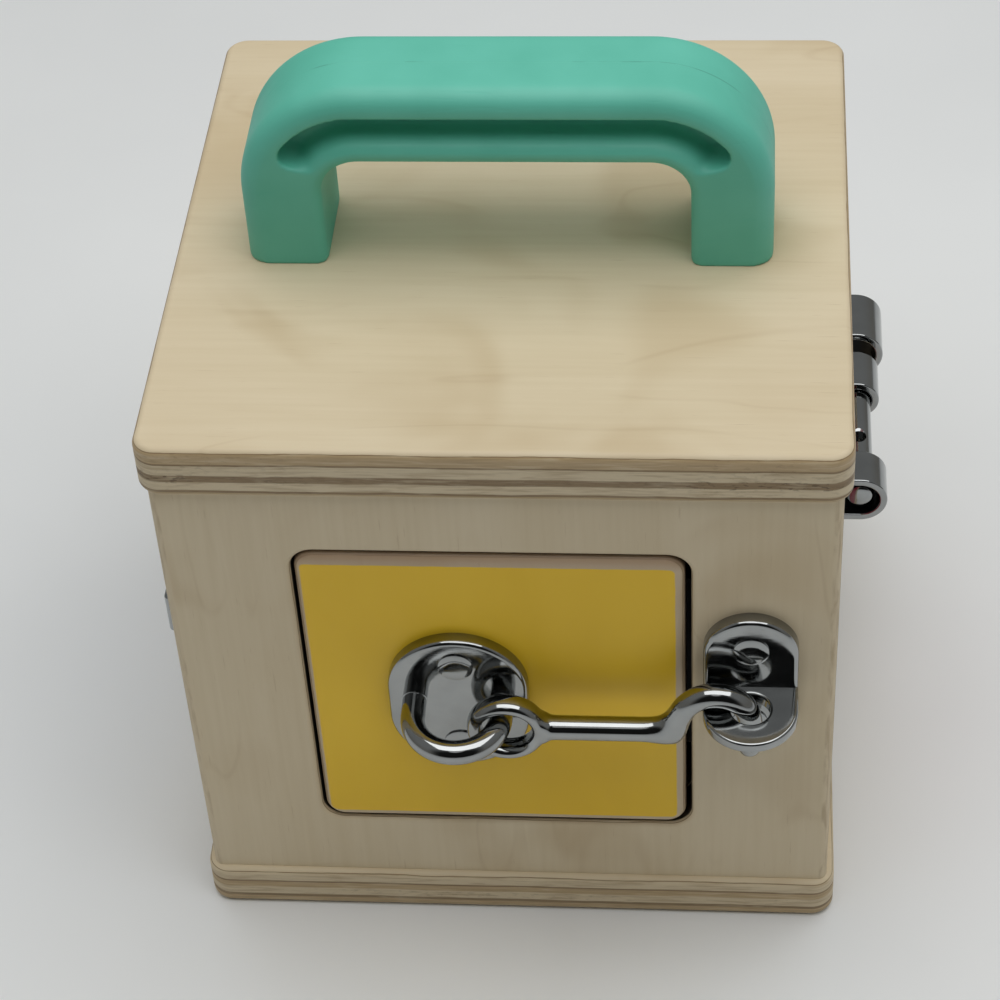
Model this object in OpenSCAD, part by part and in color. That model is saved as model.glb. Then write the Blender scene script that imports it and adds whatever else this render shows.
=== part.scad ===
// Toy lock box: a plywood cube with three hinged doors, each shut by its own latch,
// and a moulded carrying handle on top. Millimetres, +Z up, the hook's door faces -Y.
// The origin is the middle of the base plate's underside.

/* [Case] */
// Width of the top and base plates
plate_w = 140; // [130:1:200]
// Depth of the top and base plates
plate_d = 140; // [130:1:200]
// Thickness of the top plate
top_t = 12; // [10:0.5:18]
// Thickness of the base plate
base_t = 11; // [10:0.5:18]
// Height of the walls between the plates
wall_h = 115.4; // [112:0.2:180]
// Thickness of the four walls
wall_t = 10; // [9:0.5:14]
// How far the plates stand out past the walls
overhang = 1.7; // [0.5:0.1:4]
// Radius of the plates' upright corners
plate_corner_r = 5; // [3:0.5:10]
// Rounding along the plates' edges
plate_edge_r = 1.6; // [0.5:0.1:2.5]
// Rounding of the outer upright edges of the front and back walls
wall_edge_r = 2; // [0.5:0.1:4]

/* [Doorways] */
// Width of each doorway
opening_w = 80.5; // [76:0.5:84]
// Height of each doorway
opening_h = 81.9; // [76:0.1:88]
// Height of the rail under each doorway
sill_h = 17.3; // [14:0.1:22]
// How far each doorway sits towards its hinge side
opening_shift = 1.55; // [0:0.05:2]
// Radius of the doorways' corners
opening_r = 5; // [3:0.5:8]
// Rounding of the doorways' outer edge
opening_edge_r = 1.2; // [0.5:0.1:2]
// Gap beside the hinge edge of a door
hinge_gap = 0.6; // [0.5:0.1:1.5]
// Gap beside the latch edge of a door
latch_gap = 1.2; // [1.1:0.1:2.5]
// Gap above a door
head_gap = 0.7; // [0.4:0.1:1.5]
// Gap under a door
sill_gap = 0.5; // [0.4:0.1:1.5]
// Rounding of a door's outer edge
door_edge_r = 2; // [1.8:0.1:2.5]
// Diameter of the steel pins that the doors turn on
pin_d = 3; // [2:0.5:4]
// Distance from a door's hinge edge to its pins
pin_inset = 4.2; // [4:0.1:6]
// Distance from a door's outer face to its pins
pin_depth = 3.2; // [2.6:0.1:3.4]
// Length of a pin inside the door
pin_hold = 10; // [6:0.5:16]
// Width of the batten that stops a door from swinging inwards
stop_w = 11; // [7:0.5:16]
// Thickness of that batten
stop_t = 6; // [4:0.5:10]
// Height of that batten
stop_h = 50; // [30:1:70]
// How far the batten reaches behind the door
stop_lap = 3.4; // [2:0.1:4]

/* [Handle] */
// Overall length of the carrying handle
handle_l = 108.6; // [96:0.2:120]
// Height of the handle above the top plate
handle_h = 42; // [34:0.2:60]
// Thickness of the grip and of the two legs
handle_t = 16.8; // [12:0.2:20]
// Depth of the handle from front to back
handle_d = 24.2; // [18:0.2:30]
// Outer radius of the handle's two bends
handle_r = 25; // [21:0.5:30]
// Rounding of the handle's outer edges
handle_outer_r = 4.6; // [1:0.1:5]
// Rounding of the handle's inner edges
handle_inner_r = 2.2; // [1:0.1:4]
// Width of the groove in the handle's front and back faces
groove_w = 5.8; // [3:0.2:8]
// Depth of that groove
groove_d = 6.4; // [2:0.2:7]
// Angle that the groove runs round each bend
groove_turn = 52; // [20:1:80]
// Diameter of the handle's screws
screw_d = 4; // [3:0.5:5]
// Length of a handle screw inside the leg
screw_hold = 14; // [8:0.5:15]
// Diameter of a screw's head
screw_head_d = 8; // [7:0.5:10]
// Height of a screw's head
screw_head_h = 2.6; // [2:0.1:4]

/* [Hook latch] */
// How far the latches sit below the middle of the doorways
latch_drop = 0.25; // [0:0.05:3]
// Thickness of the eye plate and the catch plate
plate_t = 3; // [2:0.1:4]
// Rounding of the latch plates' outer edge
plate_round = 1; // [0.4:0.1:1.4]
// Width of the eye plate
eye_plate_w = 29.2; // [26:0.2:32]
// Height of the eye plate
eye_plate_h = 37.2; // [34:0.2:44]
// Margin of the eye plate past its rivets' heads
eye_rivet_margin = 3.4; // [1:0.1:5]
// Distance from the door's latch edge to the middle of the eye plate
eye_setback = 47.1; // [42:0.1:48]
// Thickness of the ring's bar
ring_d = 5.1; // [4:0.1:5.2]
// Radius of the ring along the middle of its bar
ring_r = 9.1; // [8:0.1:10]
// Length of the ring's straight legs outside the eye plate
ring_leg = 4.5; // [4:0.1:6]
// Slope of the ring, down from the eye plate
ring_slope = 3; // [1:1:8]
// Height of the ring's legs above the middle of the hook's eye
ring_rise = 1.2; // [0.4:0.1:1.6]
// Thickness of the hook's shank
hook_d = 5; // [4:0.1:5.4]
// Width of the bar round the hook's eye
hook_eye_w = 3.2; // [2.8:0.1:3.6]
// Inner radius of the hook's eye
hook_eye_r = 5.1; // [5.1:0.1:5.6]
// Thickness of the hook's neck where it leaves the eye's bar
hook_neck_d = 3; // [2.4:0.1:3.2]
// Length over which the neck thickens into the shank
hook_neck_l = 5; // [3:0.1:8]
// How far the eye is drawn towards the catch on its ring
hook_pull = 1.4; // [0.2:0.1:1.4]
// Distance from the door's face to the middle of the hook
hook_off = 8.7; // [8.4:0.1:9.4]
// Height of the hook's arch above its shank
hook_rise = 10.8; // [10.6:0.1:12]
// Radius of the bend where the shank turns up
hook_heel_r = 5; // [4:0.1:6]
// Radius of the arch that turns down into the catch
hook_arch_r = 7; // [6.8:0.1:7.6]
// Slope of the rising part of the hook
hook_slope = 60; // [50:1:65]
// How far the hook's point hangs below its shank
hook_drop = 6.3; // [3:0.1:8]
// Width of the catch plate and its shelf
catch_w = 19.4; // [18:0.2:19.6]
// Height of the catch plate
catch_h = 37.2; // [34:0.2:44]
// Margin of the catch plate past its rivets' heads
catch_rivet_margin = 4.6; // [1:0.1:5]
// Height of the catch plate's middle above the top of its shelf
catch_lift = 0.5; // [0:0.1:2]
// Distance from the doorway to the middle of the catch plate
catch_setback = 12.1; // [11.8:0.1:14]
// Height of the catch shelf's top above the hook's shank
shelf_rise = 6.8; // [5:0.1:6.9]
// Thickness of the catch shelf
shelf_t = 2.6; // [2:0.1:4]
// Diameter of the hole in the catch shelf
shelf_hole_d = 8; // [7.6:0.1:9]

/* [Rivets] */
// Diameter of a rivet's shank
rivet_d = 3; // [2:0.5:4]
// Diameter of a rivet's head
rivet_head_d = 7.2; // [6:0.2:7.6]
// Height of a rivet's domed head
rivet_head_h = 1.2; // [0.8:0.1:1.3]
// Length of a rivet inside the wood
rivet_hold = 6.5; // [4:0.5:7.5]

/* [Slide bolt] */
// Diameter of the bolt's rod
rod_d = 6; // [5:0.1:7]
// Distance from the door's face to the middle of the rod
rod_off = 6.4; // [6.2:0.1:8]
// Thickness of the sheet that the bolt's guides and keeper are made of
strap_t = 1.7; // [1.2:0.1:2]
// Thickness of the bolt's back plate
bolt_plate_t = 1.5; // [1:0.1:1.8]
// Height of the bolt's back plate
bolt_plate_h = 29; // [28:0.5:34]
// Radius of the back plate's corners
bolt_plate_r = 3; // [1:0.5:6]
// Margin of the back plate past its rivets' heads
bolt_rivet_margin = 0.5; // [0.3:0.1:1]
// Margin of the back plate past the front guide
bolt_plate_margin = 3; // [1:0.1:6]
// Length of the front guide along the rod
guide_front_l = 9.8; // [8:0.2:13]
// Length of the rear guide along the rod
guide_rear_l = 11.6; // [10:0.1:14]
// Distance from the door's latch edge to the rear guide
guide_setback = 0.6; // [0.4:0.1:3]
// Slack round the rod in the front guide
guide_slack = 1.3; // [0.3:0.1:1.6]
// Slack round the rod in the keeper
keeper_slack = 1.6; // [0.5:0.1:2]
// Length of the keeper along the rod
keeper_l = 15; // [10:0.2:16]
// Distance from the doorway to the keeper
keeper_setback = 2.6; // [1.8:0.1:3.4]
// Height of each of the keeper's two riveted ears
keeper_ear = 10; // [9:0.2:14]
// How far the rod slides from rest into the keeper
bolt_throw = 11.7; // [8:0.1:12.5]
// How far the rod slides back from rest
bolt_back = 5.2; // [2:0.1:6]
// How far the rod's end is set back inside the front guide at rest
rod_recess = 0.7; // [0:0.1:3]
// How far the rod's other end stands past the door's edge at rest
rod_tail = 1; // [0:0.1:2]
// Chamfer of the rod's ends
rod_chamfer = 0.5; // [0.2:0.1:1]
// Diameter of the knob that hangs from the rod
knob_d = 6; // [4:0.1:6.6]
// Length of that knob below the middle of the rod
knob_l = 15; // [10:0.2:20]
// Diameter of the knob's stem through the rod
knob_stem_d = 3; // [2:0.1:3.6]
// Gap between the knob's shoulder and the rod
knob_seat = 0.2; // [0.1:0.1:0.5]
// How far the stem's end lies below the top of the rod
stem_sink = 1; // [0.2:0.1:2]

/* [Turn latch] */
// Width of the turn latch's plate
turn_plate_w = 20; // [18:0.2:22]
// Height of the turn latch's plate
turn_plate_h = 35; // [32:0.2:40]
// Thickness of the turn latch's plate
turn_plate_t = 1.8; // [1.4:0.1:2]
// Margin of that plate past its rivets' heads
turn_rivet_margin = 2; // [1:0.1:3]
// Distance from the door's latch edge to the turn latch's spindle
turn_setback = 11.5; // [11.2:0.1:13]
// Diameter of the spindle
spindle_d = 6; // [5:0.1:7]
// Width of the tongue
tongue_w = 7; // [6.6:0.1:9]
// Thickness of the tongue
tongue_t = 1.7; // [1.2:0.1:2]
// Length of the tongue that lies under the keeper's lip when turned
tongue_lap = 4.4; // [2:0.1:4.4]
// Width of the metal round the spindle's hole in the tongue
tongue_hub = 2; // [1:0.1:3]
// Radius of the tongue's corners
tongue_tip_r = 1; // [0.5:0.1:2]
// Length of the grip
grip_l = 19; // [14:0.2:21]
// Width of the grip
grip_w = 6; // [5:0.1:7]
// Thickness of the grip
grip_t = 3.9; // [3:0.1:5]
// Height of the spindle's neck between the tongue and the grip
neck_h = 1; // [0.6:0.1:2]
// Width of the grip's metal round that neck
neck_wall = 1.5; // [1:0.1:2]
// Rounding of the grip's outer edge
grip_edge_r = 1.2; // [0.4:0.1:1.6]
// Width across the flats of the nut inside the door
nut_w = 10; // [8:0.2:11]
// Thickness of that nut
nut_t = 4; // [3:0.1:6]
// Height of the turn latch's keeper
lip_h = 10; // [8:0.2:14]
// Thickness of the sheet that this keeper is made of
lip_t = 1.5; // [1:0.1:2]
// Length of the keeper's lip
lip_l = 6.3; // [5:0.1:8]
// Margin of the keeper's foot past its rivet's head
lip_rivet_margin = 0.6; // [0.3:0.1:1.5]
// Distance from the doorway to the keeper's lip
lip_setback = 1.8; // [1:0.1:3]

/* [Glue joints] */
// Diameter of the wooden dowels between the plates and the walls
dowel_d = 5; // [4:0.5:6]
// Length of a dowel inside the wall, and inside the plate
dowel_hold = 7; // [4:0.5:8]
// Distance of the dowels from the middle of the front and back walls
dowel_x = 52; // [46:0.5:54]
// Distance of the dowels from the middle of the side walls
dowel_y = 20; // [8:0.5:26]

/* [Fits] */
// Radial clearance of a pin or spindle that turns in a hole
turn_clear = 0.05; // [0.02:0.01:0.1]
// Gap between metal parts that pass each other
pass_gap = 0.3; // [0.25:0.05:0.5]
// Gap between a shut door and its stop
stop_gap = 0.3; // [0.2:0.05:0.5]
// Radial clearance of a rivet or screw in a metal plate or a panel
fix_clear = 0.2; // [0.1:0.05:0.4]

/* [Hidden] */
$fn = 96;
// Overlap that carries a cut through a face, or sets one solid into another
cut = 1;
// Half of the short flat on the crown of each strap
strap_flat = 0.2;
// How much wider than the groove its round ends are, on each side
groove_bulb = 0.15;
// Gap between a sloping rod and its bends, closed by a ball just proud of the rod
bend_gap = 0.3;
bend_proud = 0.1;

birch = "#e3cfa6";
dowel_wood = "#cfae7a";
yellow = "#f0c530";
red = "#b3273f";
blue = "#2f6fb0";
teal = "#55c9a6";
chrome = "#c9ccd0";
steel = "#9a9da2";

walls_w = plate_w - 2 * overhang;
walls_d = plate_d - 2 * overhang;
wall_top = base_t + wall_h;
case_h = wall_top + top_t;
side_wall_w = walls_d - 2 * wall_t;

// Each face has its own frame: +X to the right seen from outside, -Y outwards, wall face at Y = 0
open_x0 = -opening_w / 2 - opening_shift;
open_x1 = open_x0 + opening_w;
open_z0 = base_t + sill_h;
open_z1 = open_z0 + opening_h;
door_x0 = open_x0 + hinge_gap;
door_x1 = open_x1 - latch_gap;
door_z0 = open_z0 + sill_gap;
door_z1 = open_z1 - head_gap;
door_w = door_x1 - door_x0;
door_h = door_z1 - door_z0;
door_t = wall_t - stop_gap;
door_r = opening_r - hinge_gap;
pin_x = door_x0 + pin_inset;
latch_z = (open_z0 + open_z1) / 2 - latch_drop;

eye_x = door_x1 - eye_setback;
eye_rivet_z = (eye_plate_h - rivet_head_d) / 2 - eye_rivet_margin;
ring_z = latch_z + ring_rise;
ring_past = max(0, (hook_off - plate_t) / cos(ring_slope) - ring_leg);
hook_x = eye_x + sqrt(pow(ring_r, 2) - pow(ring_past, 2));
hook_eye_x = hook_x + hook_pull;
catch_x = open_x1 + catch_setback;
catch_z = latch_z + shelf_rise + catch_lift;
catch_rivet_z = (catch_h - rivet_head_d) / 2 - catch_rivet_margin;
hook_reach = catch_x - hook_eye_x;
hook_eye_mid = hook_eye_r + hook_eye_w / 2;

guide_rear_x1 = door_x1 - guide_setback;
guide_rear_x0 = guide_rear_x1 - guide_rear_l;
knob_x = guide_rear_x0 - pass_gap - knob_d / 2 - bolt_throw;
guide_front_x1 = knob_x - knob_d / 2 - bolt_back - pass_gap;
guide_front_x0 = guide_front_x1 - guide_front_l;
rod_x0 = guide_front_x0 + rod_recess;
rod_x1 = door_x1 + rod_tail;
keeper_x0 = open_x1 + keeper_setback;
keeper_half = rod_d / 2 + keeper_slack + strap_t;
bolt_plate_x0 = guide_front_x0 - bolt_plate_margin;
bolt_rivet_z = (bolt_plate_h - rivet_head_d) / 2 - bolt_rivet_margin;
bolt_rivet_x = [guide_front_x0 + guide_front_l / 2, guide_rear_x0 + guide_rear_l / 2];

turn_x = door_x1 - turn_setback;
turn_rivet_z = (turn_plate_h - rivet_head_d) / 2 - turn_rivet_margin;
tongue_y = turn_plate_t + rivet_head_h + pass_gap;
lip_y = tongue_y + tongue_t + pass_gap;
lip_x0 = open_x1 + lip_setback;
lip_x1 = lip_x0 + lip_l;
lip_foot = rivet_head_d + 2 * lip_rivet_margin;
tongue_l = lip_x0 + tongue_lap - turn_x;
grip_y = tongue_y + tongue_t + neck_h;

catch_spots = [for (s = [-1, 1]) [catch_x, catch_z + s * catch_rivet_z]];
eye_spots = [for (s = [-1, 1]) [eye_x, latch_z + s * eye_rivet_z]];
keeper_spots = [for (s = [-1, 1]) [keeper_x0 + keeper_l / 2, latch_z + s * (keeper_half + keeper_ear / 2)]];
bolt_spots = [for (x = bolt_rivet_x, s = [-1, 1]) [x, latch_z + s * bolt_rivet_z]];
turn_spots = [for (s = [-1, 1]) [turn_x, latch_z + s * turn_rivet_z]];
lip_spots = [[lip_x1 + lip_foot / 2, latch_z]];

dowel_spots = concat(
    [for (x = [-1, 1], y = [-1, 1]) [x * dowel_x, y * (walls_d - wall_t) / 2]],
    [for (x = [-1, 1], y = [-1, 1]) [x * (walls_w - wall_t) / 2, y * dowel_y]]
);
screw_x = (handle_l - handle_t) / 2;
grip_flat = handle_l / 2 - handle_r;
bend_mid_r = handle_r - handle_t / 2;

// Places a piece from a face's own frame onto that face
module on_front() { translate([0, -walls_d / 2, 0]) children(); }
module on_back() { translate([0, walls_d / 2, 0]) rotate([0, 0, 180]) children(); }
module on_right() { translate([walls_w / 2, 0, 0]) rotate([0, 0, 90]) children(); }
module on_left() { translate([-walls_w / 2, 0, 0]) rotate([0, 0, -90]) children(); }

// Lays a flat piece against a face, at x and z, standing off by y
module against(x, z, y = 0) { translate([x, -y, z]) rotate([90, 0, 0]) children(); }

// Half of a slab's section, from its axis out to reach, with rounded outer corners
module half_section(reach, t, low, high) {
    translate([0, low]) square([reach, t - low - high]);
    square([reach - low, t - high]);
    translate([0, low]) square([reach - high, t - low]);
    if (low > 0) translate([reach - low, low]) circle(low);
    if (high > 0) translate([reach - high, t - high]) circle(high);
}

module section(w, t, low, high) {
    half_section(w / 2, t, low, high);
    mirror([1, 0]) half_section(w / 2, t, low, high);
}

// Slab on z = 0 with round corners, and rounded edges below and above
module slab(w, d, t, corner, low, high) {
    for (x = [-1, 1], y = [-1, 1])
        translate([x * (w / 2 - corner), y * (d / 2 - corner), 0])
            rotate_extrude() half_section(corner, t, low, high);
    rotate([90, 0, 90]) linear_extrude(w - 2 * corner, center = true) section(d, t, low, high);
    rotate([90, 0, 0]) linear_extrude(d - 2 * corner, center = true) section(w, t, low, high);
}

// Upright plate with half-round ends and a rounded outer edge
module pill(w, h, t, edge) {
    for (y = [-1, 1])
        translate([0, y * (h - w) / 2, 0]) rotate_extrude() half_section(w / 2, t, 0, edge);
    rotate([90, 0, 0]) linear_extrude(h - w, center = true) section(w, t, 0, edge);
}

module round_rect(w, h, r) {
    square([w - 2 * r, h], center = true);
    square([w, h - 2 * r], center = true);
    for (x = [-1, 1], y = [-1, 1]) translate([x * (w / 2 - r), y * (h / 2 - r)]) circle(r);
}

// D-shaped outline that stands off a face along +X
module loop_outline(out, high, r) {
    translate([0, -high / 2]) square([out - r, high]);
    translate([0, r - high / 2]) square([out, high - 2 * r]);
    for (y = [-1, 1]) translate([out - r, y * (high / 2 - r)]) circle(r);
}

// Strap bent round the rod with some slack, from a back plate out, along the rod from x by l
module rod_loop(x, l, slack, back) {
    inner = rod_d / 2 + slack;
    outer = inner + strap_t;
    translate([x, 0, latch_z]) rotate([90, 0, 90]) linear_extrude(l) mirror([1, 0]) difference() {
        loop_outline(rod_off + outer, 2 * outer, outer - strap_flat);
        translate([-cut, 0]) loop_outline(rod_off + inner + cut, 2 * inner, inner - strap_flat);
        translate([-cut, -outer]) square([back + cut, 2 * outer]);
    }
}

// Rod that hangs from z = 0 by l, with a round lower end
module round_rod(d, l) {
    rotate_extrude() {
        translate([0, d / 2 - l]) square([d / 2, l - d / 2]);
        intersection() {
            translate([0, d / 2 - l]) circle(d = d);
            translate([0, -l]) square(d / 2);
        }
    }
}

module rivet(seat) {
    dome_r = (pow(rivet_head_d / 2, 2) + pow(rivet_head_h, 2)) / (2 * rivet_head_h);
    rotate_extrude() intersection() {
        translate([0, rivet_head_h - dome_r]) circle(dome_r);
        square([rivet_head_d / 2, rivet_head_h]);
    }
    translate([0, 0, -seat - rivet_hold]) cylinder(d = rivet_d, h = seat + rivet_hold + rivet_head_h / 2);
}

module rivets(spots, seat) {
    for (p = spots) against(p[0], p[1], seat) rivet(seat);
}

// Holes for rivets: snug in the wood, clear in a metal plate
module wood_holes(spots) {
    for (p = spots)
        translate([p[0], -cut, p[1]]) rotate([-90, 0, 0]) cylinder(d = rivet_d, h = rivet_hold + cut);
}

module metal_holes(spots, seat) {
    for (p = spots)
        against(p[0], p[1], -cut) cylinder(d = rivet_d + 2 * fix_clear, h = seat + 2 * cut);
}

// Doorway through a wall, with its outer edge rounded over
module doorway() {
    translate([(open_x0 + open_x1) / 2, 0, (open_z0 + open_z1) / 2]) rotate([90, 0, 0]) {
        translate([0, 0, -wall_t - cut]) linear_extrude(wall_t + 2 * cut)
            round_rect(opening_w, opening_h, opening_r);
        for (x = [-1, 1], y = [-1, 1])
            translate([x * (opening_w / 2 - opening_r), y * (opening_h / 2 - opening_r), 0])
                rotate_extrude() translate([opening_r, 0]) cove();
        for (a = [0, 180]) rotate([0, 0, a]) {
            translate([opening_w / 2, 0, 0]) rotate([90, 0, 0])
                linear_extrude(opening_h - 2 * opening_r, center = true) cove();
            translate([0, opening_h / 2, 0]) rotate([90, 0, 90])
                linear_extrude(opening_w - 2 * opening_r, center = true) cove();
        }
    }
}

// What a roundover takes off a corner: x away from the opening, y outwards
module cove() {
    difference() {
        translate([-cut, -opening_edge_r]) square([opening_edge_r + cut, opening_edge_r + cut]);
        translate([opening_edge_r, -opening_edge_r]) circle(opening_edge_r);
    }
}

module pin_holes() {
    translate([pin_x, pin_depth, base_t - cut]) cylinder(d = pin_d, h = wall_h + 2 * cut);
}

module dowels(z) {
    for (p = dowel_spots)
        translate([p[0], p[1], z - dowel_hold]) cylinder(d = dowel_d, h = 2 * dowel_hold);
}

module all_dowels() {
    dowels(base_t);
    dowels(wall_top);
}

module base_plate() {
    color(birch) difference() {
        slab(plate_w, plate_d, base_t, plate_corner_r, plate_edge_r, plate_edge_r);
        dowels(base_t);
    }
}

module top_plate() {
    color(birch) difference() {
        translate([0, 0, wall_top])
            slab(plate_w, plate_d, top_t, plate_corner_r, plate_edge_r, plate_edge_r);
        dowels(wall_top);
        for (x = [-1, 1])
            translate([x * screw_x, 0, wall_top - cut])
                cylinder(d = screw_d + 2 * fix_clear, h = top_t + 2 * cut);
    }
}

module long_wall() {
    translate([0, 0, base_t]) linear_extrude(wall_h) {
        translate([-walls_w / 2 + wall_edge_r, 0]) square([walls_w - 2 * wall_edge_r, wall_t]);
        translate([-walls_w / 2, wall_edge_r]) square([walls_w, wall_t - wall_edge_r]);
        for (x = [-1, 1]) translate([x * (walls_w / 2 - wall_edge_r), wall_edge_r]) circle(wall_edge_r);
    }
}

module short_wall() {
    translate([-side_wall_w / 2, 0, base_t]) cube([side_wall_w, wall_t, wall_h]);
}

module front_wall() {
    color(birch) difference() {
        on_front() difference() {
            long_wall();
            doorway();
            pin_holes();
            wood_holes(catch_spots);
        }
        all_dowels();
    }
}

module back_wall() {
    color(birch) difference() {
        on_back() long_wall();
        all_dowels();
    }
}

module right_wall() {
    color(birch) difference() {
        on_right() difference() {
            short_wall();
            doorway();
            pin_holes();
            wood_holes(keeper_spots);
        }
        all_dowels();
    }
}

module left_wall() {
    color(birch) difference() {
        on_left() difference() {
            short_wall();
            doorway();
            pin_holes();
            wood_holes(lip_spots);
        }
        all_dowels();
    }
}

module top_dowels() { color(dowel_wood) dowels(wall_top); }
module base_dowels() { color(dowel_wood) dowels(base_t); }

// Outline of the handle's groove: along the grip and part of the way round both bends
module groove_outline() {
    reach = 2 * handle_r;
    low = 90 - groove_turn;
    half = 90 - groove_turn / 2;
    translate([0, handle_h - handle_t / 2]) square([2 * grip_flat, groove_w], center = true);
    for (m = [0, 1]) mirror([m, 0]) translate([grip_flat, handle_h - handle_r]) {
        intersection() {
            difference() {
                circle(bend_mid_r + groove_w / 2);
                circle(bend_mid_r - groove_w / 2);
            }
            polygon([
                [0, 0],
                [0, reach],
                reach * [cos(half), sin(half)],
                reach * [cos(low), sin(low)]
            ]);
        }
        rotate(low) translate([bend_mid_r, 0]) circle(groove_w / 2 + groove_bulb);
    }
}

// Section of the handle's bar, its outer side towards +X
module grip_section() {
    translate([(handle_inner_r - handle_outer_r) / 2, 0])
        square([handle_t - handle_outer_r - handle_inner_r, handle_d], center = true);
    for (side = [[1, handle_outer_r], [-1, handle_inner_r]]) {
        r = side[1];
        translate([side[0] * handle_t / 4, 0]) square([handle_t / 2, handle_d - 2 * r], center = true);
        for (y = [-1, 1]) translate([side[0] * (handle_t / 2 - r), y * (handle_d / 2 - r)]) circle(r);
    }
}

module half_handle() {
    translate([screw_x, 0, 0]) linear_extrude(handle_h - handle_r) grip_section();
    translate([grip_flat, 0, handle_h - handle_r]) rotate([90, 0, 0]) rotate_extrude(angle = 90)
        translate([bend_mid_r, 0]) grip_section();
    translate([0, 0, handle_h - handle_t / 2]) rotate([0, -90, 0]) mirror([0, 0, 1])
        linear_extrude(grip_flat) grip_section();
}

module carry_handle() {
    color(teal) translate([0, 0, case_h]) difference() {
        union() for (m = [0, 1]) mirror([m, 0, 0]) half_handle();
        for (n = [0, 1]) mirror([0, n, 0]) translate([0, groove_d - handle_d / 2, 0])
            rotate([90, 0, 0]) linear_extrude(groove_d + cut) groove_outline();
        for (x = [-1, 1])
            translate([x * screw_x, 0, -cut]) cylinder(d = screw_d, h = screw_hold + cut);
    }
}

module handle_screws() {
    color(steel) for (x = [-1, 1]) translate([x * screw_x, 0, wall_top]) {
        translate([0, 0, -screw_head_h]) cylinder(d = screw_head_d, h = screw_head_h);
        translate([0, 0, -screw_head_h / 2])
            cylinder(d = screw_d, h = screw_head_h / 2 + top_t + screw_hold);
    }
}

// Two steel pins, let in through the rails above and below the doorway
module door_pins() {
    translate([pin_x, pin_depth, base_t]) cylinder(d = pin_d, h = door_z0 + pin_hold - base_t);
    translate([pin_x, pin_depth, door_z1 - pin_hold]) cylinder(d = pin_d, h = wall_top - door_z1 + pin_hold);
}

module front_door_pins() { color(steel) on_front() door_pins(); }
module right_door_pins() { color(steel) on_right() door_pins(); }
module left_door_pins() { color(steel) on_left() door_pins(); }

module door_stop() {
    translate([door_x1 - stop_lap, wall_t, (open_z0 + open_z1 - stop_h) / 2]) cube([stop_w, stop_t, stop_h]);
}

module front_door_stop() { color(birch) on_front() door_stop(); }
module right_door_stop() { color(birch) on_right() door_stop(); }
module left_door_stop() { color(birch) on_left() door_stop(); }

// Door leaf with its outer edge rounded, drilled for its pins
module door_leaf() {
    bore_l = pin_hold + pass_gap;
    difference() {
        translate([(door_x0 + door_x1) / 2, door_t, (door_z0 + door_z1) / 2]) rotate([90, 0, 0])
            slab(door_w, door_h, door_t, door_r, 0, door_edge_r);
        for (z = [door_z0 - cut, door_z1 - bore_l])
            translate([pin_x, pin_depth, z]) cylinder(d = pin_d + 2 * turn_clear, h = bore_l + cut);
    }
}

module front_door() {
    color(yellow) on_front() difference() {
        door_leaf();
        wood_holes(eye_spots);
        for (x = [-1, 1])
            translate([eye_x + x * ring_r, -cut, ring_z]) rotate([-90, 0, 0])
                cylinder(d = ring_d, h = rivet_hold + cut);
    }
}

module right_door() {
    color(red) on_right() difference() {
        door_leaf();
        wood_holes(bolt_spots);
    }
}

module left_door() {
    color(blue) on_left() difference() {
        door_leaf();
        wood_holes(turn_spots);
        translate([turn_x, -cut, latch_z]) rotate([-90, 0, 0])
            cylinder(d = spindle_d + 2 * turn_clear, h = door_t + 2 * cut);
    }
}

module eye_plate() {
    color(chrome) on_front() difference() {
        against(eye_x, latch_z) pill(eye_plate_w, eye_plate_h, plate_t, plate_round);
        metal_holes(eye_spots, plate_t);
        for (x = [-1, 1])
            against(eye_x + x * ring_r, ring_z, -cut) cylinder(d = ring_d, h = plate_t + 2 * cut);
    }
}

// Half ring that slopes down from two legs, which pass through the eye plate into the door
module eye_ring() {
    bend_d = ring_d + 2 * bend_proud;
    color(chrome) on_front() translate([eye_x, -plate_t, ring_z]) {
        for (x = [-1, 1]) translate([x * ring_r, 0, 0]) {
            rotate([-90, 0, 0]) cylinder(d = ring_d, h = plate_t + rivet_hold);
            sphere(d = bend_d);
        }
        rotate([ring_slope, 0, 0]) {
            for (x = [-1, 1]) translate([x * ring_r, 0, 0]) rotate([90, 0, 0]) {
                translate([0, 0, bend_gap]) cylinder(d = ring_d, h = ring_leg - 2 * bend_gap);
                translate([0, 0, ring_leg]) sphere(d = bend_d);
            }
            translate([0, -ring_leg, 0]) rotate([0, 0, 180])
                rotate_extrude(angle = 180) translate([ring_r, 0]) circle(d = ring_d);
        }
    }
}

module eye_rivets() { color(chrome) on_front() rivets(eye_spots, plate_t); }

// Section of the flattened bar round the hook's eye, as deep as the shank is thick
module eye_section() {
    deep = hook_d - hook_eye_w;
    square([hook_eye_w, deep], center = true);
    for (y = [-1, 1]) translate([0, y * deep / 2]) circle(d = hook_eye_w);
}

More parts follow.
